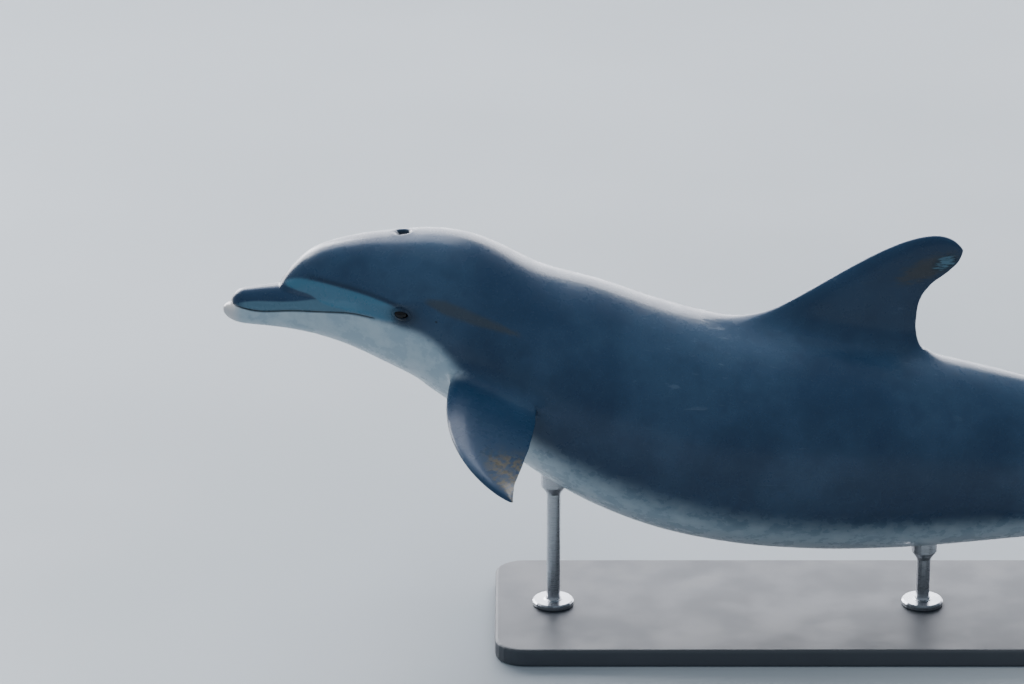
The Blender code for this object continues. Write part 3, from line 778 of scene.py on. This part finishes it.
def distances(points, tree):
    """Distance of each point from a surface, negative inside it, and the direction away."""
    away, direction = np.empty(len(points)), np.empty((len(points), 3))
    for k, point in enumerate(points):
        near, normal, _, _ = tree.find_nearest(Vector(point))
        gap = Vector(point) - near
        side = -1.0 if gap.dot(normal) < -0.9 * gap.length else 1.0
        away[k] = side * gap.length
        direction[k] = side * gap.normalized() if gap.length > 2e-4 else normal
    return away, direction


def nearer(first, second):
    """Of two (distance, direction) pairs, the nearer one at each point."""
    close = first[0] < second[0]
    return np.where(close, first[0], second[0]), np.where(close[:, None], first[1], second[1])


def faired(mesh, body_tree, fin_trees, seam):
    """Round the fins' roots: points near a seam move out to the smooth union of the surfaces."""
    points = vertex_array(mesh)
    _, away = nearest(points, seam)
    close = np.flatnonzero(away < 1.5 * max(FAIRING.values()))
    moved = points[close]
    for _ in range(3):
        level, slope = distances(moved, body_tree)
        thinning = 1 - 0.9 * smooth_step((moved[:, 0] - NOTCH_THINNING[0]) / NOTCH_THINNING[1])
        for kind, trees in fin_trees.items():
            reach = FAIRING[kind] * thinning
            other, other_slope = distances(moved, trees[0])
            for tree in trees[1:]:
                other, other_slope = nearer((other, other_slope), distances(moved, tree))
            overlap = np.clip(reach - np.abs(level - other), 0, reach)
            share = np.where(level < other, 1 - overlap / (2 * reach), overlap / (2 * reach))[:, None]
            level = np.minimum(level, other) - overlap**2 / (4 * reach)
            slope = slope * share + other_slope * (1 - share)
        steep = np.maximum((slope**2).sum(-1), 0.2)
        moved -= slope * (level / steep)[:, None]
    points[close] = moved
    move_points(mesh, points)


def united(base, other):
    """The base object with the other one joined to it and removed."""
    modifier = base.modifiers.new("union", "BOOLEAN")
    modifier.operation = "UNION"
    modifier.solver = "EXACT"
    modifier.object = other
    seen = base.evaluated_get(bpy.context.evaluated_depsgraph_get())
    mesh = bpy.data.meshes.new_from_object(seen)
    name = base.name
    bpy.data.objects.remove(other)
    bpy.data.objects.remove(base)
    return linked(name, mesh)


def relaxed(mesh, seam_points, reach, rounds):
    """Even out a mesh near a seam: each point moves towards the middle of its neighbours."""
    points = vertex_array(mesh)
    _, away = nearest(points, seam_points)
    weight = 0.55 * np.clip(1 - away / reach, 0, 1) ** 1.5
    edges = np.empty(len(mesh.edges) * 2, np.int32)
    mesh.edges.foreach_get("vertices", edges)
    a, b = edges.reshape(-1, 2).T
    degree = np.bincount(np.concatenate([a, b]), minlength=len(points))
    for _ in range(rounds):
        total = [np.bincount(a, x[b], len(x)) + np.bincount(b, x[a], len(x)) for x in points.T]
        points += weight[:, None] * (np.stack(total, -1) / np.maximum(degree, 1)[:, None] - points)
    move_points(mesh, points)


# The unwrap: the body's two halves lie side by side, stretched at the head, and each fin has a
# strip of its own.
UV_MARGIN, UV_LENGTH = 0.005, 0.99
HALF_STARTS, HALF_HEIGHT = (0.38, 0.385), 0.37
STRIP_START, STRIP_STEP, STRIP_HEIGHT = 0.77, 0.046, 0.042


def body_uv(faces, s, angle, left):
    across = np.interp(s, (-0.016, 0.12, 0.45, BODY_LENGTH), (0.0, 0.16, 0.45, 1.0))
    corners = np.concatenate([np.array(face) for face in faces])
    side = np.repeat(left, [len(face) for face in faces])
    turn = angle[corners] / math.pi * HALF_HEIGHT
    half = np.where(side, HALF_STARTS[0] - turn, HALF_STARTS[1] + turn)
    return np.stack([UV_MARGIN + UV_LENGTH * across[corners], half], -1)


def fin_uv(faces, t, slot):
    """A strip from root to tip; the ring's last column closes at the strip's end."""
    uvs = []
    low = STRIP_START + STRIP_STEP * slot
    for face in faces:
        columns = [k % FIN_RING for k in face]
        wraps = len(face) == 4 and max(columns) - min(columns) > 1
        for k, column in zip(face, columns):
            round_share = (FIN_RING if wraps and column == 0 else column) / FIN_RING
            uvs.append((UV_MARGIN + UV_LENGTH * t[k], low + STRIP_HEIGHT * round_share))
    return uvs


def build_skin():
    """The whole skin, and for each of its points the place on the body and on a fin."""
    points, faces, s, angle = whole_body()
    middles = np.array([points[list(face), 1].mean() for face in faces])
    body = mesh_object("dolphin_skin", points, faces, body_uv(faces, s, angle, middles < 0))
    body_tree = surface_tree(body.data)
    source = [points]
    places = [np.stack([s, angle] + [0 * s] * 5, -1)]
    skin, fin_trees = body, {kind: [] for kind in FAIRING}
    for slot, (name, kind, fin_points, t, c, face_side) in enumerate(all_fins()):
        shape = tube_faces(FIN_STEPS, FIN_RING)
        if name.endswith("_right"):
            shape = [face[::-1] for face in shape]
        fin = mesh_object(name, fin_points, shape, fin_uv(shape, t, slot))
        fin_trees[kind].append(surface_tree(fin.data))
        near, _ = nearest(fin_points, points)
        away, _ = distances(fin_points, body_tree)
        code = np.full(len(t), 1.0 + list(FAIRING).index(kind))
        source.append(fin_points)
        places.append(np.stack([s[near], angle[near], code, t, c, face_side, np.maximum(away, 0)], -1))
        skin = united(skin, fin)
    skin.name = "dolphin_skin"
    source, places = np.concatenate(source), np.concatenate(places)
    points = vertex_array(skin.data)
    found, gap = nearest(points, source)
    seam = points[gap > SEAM_GAP]
    faired(skin.data, body_tree, fin_trees, seam)
    relaxed(skin.data, seam, RELAX_REACH, RELAX_ROUNDS)
    return skin, places[found]


# ---------------------------------------------------------------- markings
# Each marking is a field from 0 to 1 kept at the skin's points; the material breaks up its edge. Some
# fields are painted light and shade: shade in the creases, reflected light on lip and cheek, a reflection
# behind the eye.
# The curves are pairs: distance behind the snout, and the angle or height there.
PALE_EDGE = (  # degrees where the underside begins
    *((-0.02, 88.0), (0.24, 90.0), (0.34, 93.0), (0.42, 101.0), (0.50, 110.0)),
    *((0.80, 122.0), (1.10, 127.0), (1.62, 131.0), (1.95, 142.0), (2.30, 178.0)),
)
BRIDLE = (  # height of the dark line over the cheek
    *((0.100, 0.0690), (0.125, 0.0795), (0.158, 0.0830), (0.206, 0.0780)),
    *((0.263, 0.0680), (0.313, 0.0550), (0.345, 0.0450)),
)
LIP_EDGE = (  # height where the painted reflected light along the upper lip ends
    *((0.004, 0.0170), (0.018, 0.0215), (0.080, 0.0275)),
    *((0.140, 0.0335), (0.172, 0.0400), (0.280, 0.0440)),
)
WEDGE = (  # height of the dark wedge behind the crease
    *((0.098, 0.0590), (0.125, 0.0550), (0.146, 0.0505), (0.162, 0.0455)),
    *((0.172, 0.0390), (0.220, 0.0270), (0.280, 0.0130)),
)
FACE_CURVES = (PALE_EDGE, BRIDLE, LIP_EDGE, WEDGE)
pale_edge_at, bridle_at, lip_edge_at, wedge_at = (spline(pairs, 1, 0) for pairs in FACE_CURVES)
TIP_WEAR = (1.404, 0.098, 0.036, 0.020, 26)  # x, z, half length, half width, degrees
TIP_BROWN = (1.372, 0.088, 0.110, 0.042, 24)


def height_over_spine(s, angle):
    return centre_at(s) + body_radius(s, angle) * np.cos(angle)


def pale_field(s, angle):
    """The underside: sharp at the lips, soft along the flank."""
    soft = np.interp(s, (0.20, 0.34, 0.50, 0.90), (5.0, 10.0, 16.0, 26.0))
    edge = np.minimum(pale_edge_at(s), np.degrees(groove_angle(s)) + 200 * np.maximum(s - 0.1, 0))
    return smooth_step(0.5 + (np.degrees(angle) - edge) / (2 * soft))


def lip_reflection_field(s, angle):
    """Painted reflected light from below: a paler teal strip of the upper jaw along the mouth."""
    rise = height_over_spine(s, angle)
    under = smooth_step((lip_edge_at(s) - rise) / 0.004 + 0.5)
    return under * between(s, 0.002, 0.270, 0.030) * (angle < groove_angle(s) + 0.02)


def cheek_and_reflection_field(s, angle):
    """Between the mouth and the bridle the face is lighter, partly its own paler tone and partly painted
    teal light reflected from below; it runs forward to the crease.
    """
    rise = height_over_spine(s, angle)
    under = smooth_step((bridle_at(s) - rise) / 0.010)
    over = smooth_step((rise - wedge_at(s)) / 0.008 + 0.5)
    front = smooth_step((s - 0.096) / 0.024)
    return under * over * front * smooth_step((0.352 - s) / 0.045) * (np.degrees(angle) < 110)


def bridle_field(s, angle):
    line = hump(height_over_spine(s, angle) - bridle_at(s), 0.0042)
    return line * between(s, 0.135, 0.352, 0.035) * (angle < math.pi / 2)


def eye_patch_field(s, angle):
    back, up = eye_offset(s, angle)
    return hump(np.hypot((back - 0.003) / 1.35, up + 0.003), 0.0185)


def eye_reflection_lens_field(s, angle):
    """A painted reflection: the grey-brown lens that runs back from behind the eye."""
    middle = np.interp(s, (0.37, 0.42, 0.46, 0.54), (66.0, 68.5, 68.0, 62.0))
    half = np.interp(s, (0.375, 0.41, 0.46, 0.54), (2.0, 7.0, 5.5, 1.5))
    inside = smooth_step(1.8 * (1 - np.abs(np.degrees(angle) - middle) / half))
    return inside * between(s, 0.372, 0.550, 0.02)


def chin_field(s, angle):
    """The pale pinkish tip of the lower jaw."""
    below = smooth_step((np.degrees(angle) - np.degrees(groove_angle(s)) + 4) / 6)
    return np.where(s < 0.004, 1.0, below) * (1 - smooth_step((s + 0.004) / 0.030))


def crease_shade_field(s, angle):
    """Painted shade in the recesses: the mouth's line, the blowhole and the slits."""
    away, radius = blowhole_place(s, angle)
    hole = np.maximum(hump(away, BLOWHOLE_WIDTH * 1.5), hump(radius, 0.0085))
    return np.maximum(np.maximum(mouth_groove(s, angle), hole), 0.8 * belly_slit(s, angle))


def oval_field(x, z, middle_x, middle_z, half_length, half_width, degrees):
    """1 at the middle of an oval patch of the dorsal fin, 0 on and beyond its edge."""
    turn = math.radians(degrees)
    along = (x - middle_x) * math.cos(turn) + (z - middle_z) * math.sin(turn)
    across = (z - middle_z) * math.cos(turn) - (x - middle_x) * math.sin(turn)
    return np.clip(1 - np.hypot(along / half_length, across / half_width), 0, 1)


def markings(skin, places):
    """Keeps every field at the skin's points."""
    s, angle, kind, span, chord, fin_side, out = places.T
    points = vertex_array(skin.data)
    x, z = points[:, 0], points[:, 2]
    dorsal, flipper, fluke = (kind == code for code in (1, 2, 3))
    off_fin = 1 - smooth_step(out / 0.07)
    free_fluke = fluke * smooth_step((out - 0.02) / 0.08)
    fields = {
        "pale": pale_field(s, angle) * off_fin,
        "lip": lip_reflection_field(s, angle),
        "cheek": cheek_and_reflection_field(s, angle),
        "bridle": bridle_field(s, angle),
        "eye_patch": eye_patch_field(s, angle),
        # painted reflection behind the eye
        "painted_reflection_lens": eye_reflection_lens_field(s, angle) * off_fin,
        "chin": chin_field(s, angle),
        # painted shade in the mouth's line, the blowhole and the slits
        "crease": crease_shade_field(s, angle) * (kind == 0),
        "fin": smooth_step(out / 0.09),
        "fluke": free_fluke,
        "fluke_under": free_fluke * (fin_side < 0),
        "worn": dorsal * oval_field(x, z, *TIP_WEAR),
        "brown": dorsal * oval_field(x, z, *TIP_BROWN),
        "ochre": flipper * smooth_step((span - 0.50) / 0.30) * smooth_step((chord - 0.10) / 0.45),
        "along": s,
        "rise": body_radius(s, angle) * (math.pi / 2 - angle),
    }
    keep_fields(skin.data, fields)


# ---------------------------------------------------------------- materials
class Nodes:
    """A material's node tree, with short calls for the nodes used here."""

    def __init__(self, name, **constants):
        self.material = bpy.data.materials.new(name)
        self.material.use_nodes = True
        self.tree = self.material.node_tree
        self.surface(**constants)

    def feed(self, socket, value):
        """Link an output to an input, or set the input to a number or colour."""
        if isinstance(value, bpy.types.NodeSocket):
            self.tree.links.new(value, socket)
        else:
            socket.default_value = value

    def surface(self, **values):
        """Feed inputs of the shader, and give back the material."""
        shader = self.tree.nodes["Principled BSDF"]
        for name, value in values.items():
            self.feed(shader.inputs[name.replace("_", " ").title().replace("Ior", "IOR")], value)
        return self.material

    def node(self, kind, output, inputs=(), **settings):
        """One output of a new node."""
        node = self.tree.nodes.new("ShaderNode" + kind)
        for name, value in settings.items():
            setattr(node, name, value)
        for socket, value in dict(inputs).items():
            self.feed(node.inputs[socket], value)
        return node.outputs[output]

    def field(self, name):
        return self.node("Attribute", "Fac", attribute_name=name)

    def place(self):
        return self.node("TexCoord", "Object")

    def stretched(self, scale, turn=(0, 0, 0)):
        rotation = [math.radians(a) for a in turn]
        inputs = {"Vector": self.place(), "Scale": scale, "Rotation": rotation}
        return self.node("Mapping", "Vector", inputs)

    def noise(self, scale, detail=3.0, rough=0.55, vector=None, distortion=0.0):
        inputs = {"Vector": vector or self.place(), "Scale": scale, "Detail": detail}
        return self.node("TexNoise", "Fac", {**inputs, "Roughness": rough, "Distortion": distortion})

    def math(self, operation, a, b=0.0):
        return self.node("Math", 0, {0: a, 1: b}, operation=operation)

    def times(self, a, b):
        return self.math("MULTIPLY", a, b)

    def steps(self, value, low, high, to_low=0.0, to_high=1.0):
        """Smoothly from one value to another as the input goes from low to high."""
        inputs = {"Value": value, "From Min": low, "From Max": high, "To Min": to_low, "To Max": to_high}
        return self.node("MapRange", "Result", inputs, interpolation_type="SMOOTHSTEP")

    def mix(self, share, a, b):
        return self.node("Mix", 2, {0: share, 6: a, 7: b}, data_type="RGBA")

    def over(self, under, share, strength, *colour):
        """A colour, given as displayed, laid over another one."""
        return self.mix(self.times(share, strength), under, rgb(*colour))

    def broken(self, field, noise, amount, low, high):
        """A field with a noisy edge."""
        shift = self.times(self.math("SUBTRACT", noise, 0.5), amount)
        return self.steps(self.math("ADD", field, shift), low, high)

    def bump(self, height, distance, strength=1.0, **under):
        inputs = {"Strength": strength, "Distance": distance, "Height": height, **under}
        return self.node("Bump", "Normal", inputs)


def rgb(*levels):
    """A colour given as displayed, 0 to 255, as the shader's linear colour."""
    linear = [((v / 255 + 0.055) / 1.055) ** 2.4 if v > 10 else v / 255 / 12.92 for v in levels]
    return (*linear, 1.0)


FACE_MARKINGS = (  # field, strength, colour
    ("bridle", 0.75, 20, 40, 60),
    # the grey-brown lens behind the eye is a painted reflection
    ("painted_reflection_lens", 0.65, 60, 64, 66),
    ("eye_patch", 0.95, 10, 20, 34),
    ("chin", 0.85, 214, 206, 202),
)


def body_colour(n, cloud, mottle):
    """Slate back with lighter clouds of painted sheen, pale underside, the markings of the face, and
    painted reflected light on lip, cheek and behind the eye.
    """
    # lighter clouds on the back: random tone, and painted soft sheen
    back = n.mix(n.steps(cloud, 0.35, 0.7), rgb(28, 53, 79), rgb(45, 71, 96))
    back = n.mix(n.steps(mottle, 0.45, 0.75, 0.0, 0.35), back, rgb(23, 46, 71))
    belly = n.mix(n.steps(mottle, 0.35, 0.7), rgb(156, 175, 186), rgb(180, 194, 201))
    # painted reflected light from below, teal, along the upper lip
    skin = n.over(back, n.field("lip"), 0.75, 88, 122, 138)
    # the cheek's paler tone, tinted teal by painted reflected light from below
    cheek = n.broken(n.field("cheek"), mottle, 0.35, 0.10, 0.95)
    skin = n.over(skin, cheek, 0.75, 72, 120, 143)
    skin = n.mix(n.broken(n.field("pale"), mottle, 0.22, 0.12, 0.88), skin, belly)
    for name, strength, *colour in FACE_MARKINGS:
        skin = n.over(skin, n.field(name), strength, *colour)
    return skin


def fin_colour(n, skin, cloud):
    """The darker fins with their worn tips, and how worn the dorsal fin's tip is."""
    fin = n.mix(n.steps(cloud, 0.4, 0.65), rgb(25, 52, 78), rgb(32, 60, 87))
    skin = n.mix(n.field("fin"), skin, fin)
    skin = n.over(skin, n.field("fluke_under"), 0.45, 120, 136, 150)
    streak = n.noise(60.0, 4.0, 0.6, n.stretched((1.0, 1.0, 5.0), (0, 24, 0)))
    brown = n.broken(n.field("brown"), streak, 0.9, 0.25, 0.75)
    skin = n.over(skin, brown, 0.7, 64, 62, 58)
    ochre = n.times(n.steps(n.field("ochre"), 0.05, 0.9), n.steps(streak, 0.42, 0.60))
    skin = n.over(skin, ochre, 0.8, 96, 86, 58)
    skin = n.over(skin, n.steps(n.field("worn"), 0.05, 0.45), 0.75, 14, 36, 50)
    worn = n.broken(n.field("worn"), streak, 2.6, 0.25, 0.75)
    worn = n.times(worn, n.steps(n.field("worn"), 0.12, 0.4))
    return n.over(skin, worn, 0.75, 92, 132, 150), worn


def painted_shade_lines(n):
    """Painted shade in the creases, and in the pinhole of the ear."""
    back = n.math("SUBTRACT", n.field("along"), EAR_S)
    up = n.math("SUBTRACT", n.field("rise"), EAR_RISE)
    away = n.math("SQRT", n.math("ADD", n.times(back, back), n.times(up, up)))
    return n.math("MAXIMUM", n.field("crease"), n.steps(away, 0.0012, 0.0026, 1.0, 0.0))


def skin_material():
    n = Nodes("wet_skin", roughness=0.30, coat_weight=0.22, coat_roughness=0.14, ior=1.42)
    cloud = n.noise(5.0, 4.0)
    mottle = n.noise(26.0, 4.0, 0.6)
    skin, worn = fin_colour(n, body_colour(n, cloud, mottle), cloud)
    speck = n.steps(n.noise(420.0, 2.0), 0.62, 0.75, 0.0, 0.18)
    skin = n.mix(speck, skin, rgb(120, 132, 142))
    rake = n.noise(14.0, 2.0, 0.4, n.stretched((0.8, 9.0, 9.0), (8, 14, 0)), 0.6)
    rake = n.times(n.steps(rake, 0.66, 0.74), n.steps(cloud, 0.52, 0.60))
    rake = n.times(rake, n.steps(n.field("along"), 0.55, 0.80))
    skin = n.over(skin, rake, 0.08, 150, 170, 186)
    # painted shade, near black, in the mouth's line, the blowhole, the slits and the ear's pinhole
    skin = n.over(skin, painted_shade_lines(n), 0.95, 9, 13, 20)
    rough = n.math("ADD", n.steps(mottle, 0.3, 0.8, 0.24, 0.36), n.times(worn, 0.2))
    rough = n.math("ADD", rough, n.times(n.field("fluke"), 0.3))
    fine = n.bump(n.noise(700.0, 2.0), 0.00012)
    grain = n.bump(n.noise(90.0, 3.0), 0.0005, 0.5, Normal=fine)
    scratched = n.bump(rake, 0.0003, 0.5, Normal=grain)
    return n.surface(base_color=skin, roughness=rough, normal=scratched)


def eye_material():
    """Radial colour about the eye's axis: dark sclera, brown iris, wide dark pupil."""
    n = Nodes("eyeball", roughness=0.10, coat_weight=0.3, coat_roughness=0.02, ior=1.34)
    iris = n.mix(n.steps(n.noise(500.0, 3.0), 0.35, 0.65), rgb(12, 10, 10), rgb(24, 18, 16))
    colour = n.mix(n.steps(n.field("from_axis"), 0.0080, 0.0090), iris, rgb(14, 12, 13))
    colour = n.mix(n.steps(n.field("pupil"), 0.9, 1.1, 1.0, 0.0), colour, rgb(4, 6, 10))
    return n.surface(base_color=colour)


def board_material():
    """Satin powder coat."""
    n = Nodes("powder_coat", roughness=0.45)
    cloud = n.noise(9.0, 3.0)
    colour = n.mix(cloud, rgb(62, 65, 70), rgb(72, 75, 80))
    rough = n.steps(cloud, 0.3, 0.7, 0.40, 0.52)
    return n.surface(base_color=colour, roughness=rough, normal=n.bump(n.noise(900.0, 2.0), 0.0002, 0.6))


def metal_material():
    """Turned and brushed steel: fine rings round the rods."""
    n = Nodes("brushed_steel", roughness=0.30, metallic=1.0)
    rings = n.noise(300.0, 3.0, 0.6, n.stretched((0.05, 0.05, 6.0)))
    colour = n.mix(n.noise(12.0, 2.0), rgb(186, 188, 192), rgb(202, 204, 208))
    rough = n.steps(rings, 0.3, 0.7, 0.22, 0.40)
    return n.surface(base_color=colour, roughness=rough, normal=n.bump(rings, 0.0002, 0.35))


def floor_material():
    n = Nodes("pale_floor", roughness=0.6)
    cloud = n.noise(0.8, 3.0)
    colour = n.mix(cloud, rgb(154, 162, 168), rgb(160, 168, 174))
    return n.surface(base_color=colour, roughness=n.steps(cloud, 0.3, 0.7, 0.55, 0.65))


# ---------------------------------------------------------------- eyes
EYE_RINGS, EYE_COLUMNS = 48, 64
EYE_POLE = 0.03  # radians from the axis to the first and the last ring
CORNEA_RISE, CORNEA_SPREAD = 0.0006, 0.55
PUPIL_HALF_LENGTH, PUPIL_HALF_HEIGHT, PUPIL_DROP = 0.0060, 0.0032, 0.0004


def eye_piece(name, side):
    """An eyeball with a raised cornea; its fields count from its axis."""
    out = body_normal(np.array([EYE_S]), np.array([EYE_ANGLE]))[0] * [1, -side, 1]
    up = unit(np.array([0.0, 0.0, 1.0]) - out * out[2])
    back = np.cross(out, up)
    tilt = np.linspace(EYE_POLE, math.pi - EYE_POLE, EYE_RINGS)[:, None]
    turn = np.linspace(0, 2 * math.pi, EYE_COLUMNS, endpoint=False)[None]
    radius = EYE_RADIUS + CORNEA_RISE * hump(tilt, CORNEA_SPREAD) - CORNEA_RISE
    x, y = radius * np.sin(tilt) * np.cos(turn), radius * np.sin(tilt) * np.sin(turn)
    z = radius * np.cos(tilt) + 0 * turn
    points = eye_centre(side) + x[..., None] * back + y[..., None] * up + z[..., None] * out
    faces = [face[::-1] for face in tube_faces(EYE_RINGS - 1, EYE_COLUMNS)]
    made = mesh_object(name, points.reshape(-1, 3) + SHIFT, faces)
    front = (z > 0).ravel()
    from_axis = np.where(front, np.hypot(x, y).ravel(), EYE_RADIUS)
    pupil = np.hypot(x / PUPIL_HALF_LENGTH, (y + PUPIL_DROP) / PUPIL_HALF_HEIGHT).ravel()
    pupil = np.where(front, pupil, 9.0)  # 1 at the pupil's edge; none at the back
    keep_fields(made.data, {"from_axis": from_axis, "pupil": pupil})
    made.data.materials.append(EYE_MATERIAL)
    made.data.shade_smooth()
    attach(made, "root")
    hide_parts(name)


HEAD = ("beak_upper", "jaw_lower", "melon", "head", "neck")
TRUNK = ("trunk_front", "trunk_rear", "tail_stock")
FINS = ("dorsal_fin", "flipper_left", "flipper_right", "fluke_left", "fluke_right")
FLESH = HEAD + TRUNK + FINS


def make_skin():
    skin, places = build_skin()
    markings(skin, places)
    skin.data.transform(Matrix.Translation(SHIFT))
    skin.data.materials.clear()
    skin.data.materials.append(skin_material())
    skin.data.shade_smooth()
    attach(skin, "root")
    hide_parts(*FLESH)


def finish_stand():
    board, metal = board_material(), metal_material()
    for name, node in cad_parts.items():
        if name.startswith("stand_"):
            node.data.materials.clear()
            node.data.materials.append(board if name == "stand_base" else metal)


# ---------------------------------------------------------------- floor, lights and camera
ELEVATION, DISTANCE = 20.0, 8.0  # of the camera: degrees over the horizon, metres
FOCAL_WIDTHS = 3.945  # focal length over the width of the image
AIM = (0.554, 0.0, -0.069)  # in the body's frame


FLOOR_RADII, FLOOR_CORNERS = (3.0, 60.0), 96


def make_floor():
    count = FLOOR_CORNERS
    turn = np.linspace(0, 2 * math.pi, count, endpoint=False)
    rings = [np.stack([r * np.cos(turn), r * np.sin(turn), 0 * turn], -1) for r in FLOOR_RADII]
    faces = [tuple(range(count))]
    faces += [(k, k + count, (k + 1) % count + count, (k + 1) % count) for k in range(count)]
    floor = mesh_object("floor", np.concatenate(rings), faces)
    floor.data.materials.append(floor_material())


def aimed(thing, target):
    thing.rotation_euler = (Vector(target) - thing.location).to_track_quat("-Z", "Y").to_euler()


def lamp(name, kind, place, target, power, colour, **settings):
    light = bpy.data.lights.new(name, kind)
    light.energy = power
    light.color = colour
    for setting, value in settings.items():
        setattr(light, setting, value)
    made = linked(name, light)
    made.location = place
    aimed(made, target)
    return made


def panel(name, place, target, size, power, colour):
    shape = {"shape": "RECTANGLE", "size": size[0], "size_y": size[1]}
    return lamp(name, "AREA", place, target, power, colour, **shape)


SUN_ANGLE = math.radians(50)  # wide, so that its shadows are soft
SURROUND_COLOUR, SURROUND_STRENGTH = (0.74, 0.85, 1.0, 1.0), 0.32


def make_lights():
    rim = panel("rim", (-1.0, 5.2, 2.1), (-1.0, 0, 1.4), (13.0, 4.0), 800, (0.93, 0.94, 1.0))
    sky = panel("sky", (-3.6, 3.9, 5.15), (-3.6, 0, 0.3), (8.0, 3.4), 290, (0.84, 0.87, 1.0))
    glow = panel("glow", (-4.4, 4.4, 3.2), (-0.96, 0, 0.95), (4.8, 4.2), 520, (0.96, 0.97, 1.0))
    for light in (rim, sky, glow):
        light.visible_diffuse = False  # a bright sky behind, seen only where things mirror it
    back = panel("back", (-1.0, 5.6, 5.0), (-1.0, 0, 0.8), (10.0, 3.0), 620, (0.94, 0.95, 1.0))
    top = lamp("top", "SUN", (-0.2, 0.8, 5.0), (0, 0, 0.6), 2.2, (1.0, 0.98, 0.96), angle=SUN_ANGLE)
    fill = panel("fill", (-2.5, -5.5, 3.5), (0, 0, 0.5), (5.0, 4.0), 95, (0.60, 0.81, 1.0))
    for light in (back, top, fill):
        light.visible_glossy = False
    world = bpy.data.worlds.new("studio")
    world.use_nodes = True
    surround = world.node_tree.nodes["Background"]
    surround.inputs["Color"].default_value = SURROUND_COLOUR
    surround.inputs["Strength"].default_value = SURROUND_STRENGTH
    bpy.context.scene.world = world


def make_camera():
    camera = bpy.data.cameras.new("camera")
    camera.sensor_width = 36.0
    camera.lens = FOCAL_WIDTHS * camera.sensor_width
    made = linked("camera", camera)
    tilt = math.radians(ELEVATION)
    target = np.array(AIM) + SHIFT
    made.location = target + DISTANCE * np.array([0, -math.cos(tilt), math.sin(tilt)])
    aimed(made, target)
    bpy.context.scene.camera = made


make_camera()
make_floor()
make_lights()
make_skin()
EYE_MATERIAL = eye_material()
eye_piece("eye_left", -1)
eye_piece("eye_right", 1)
finish_stand()
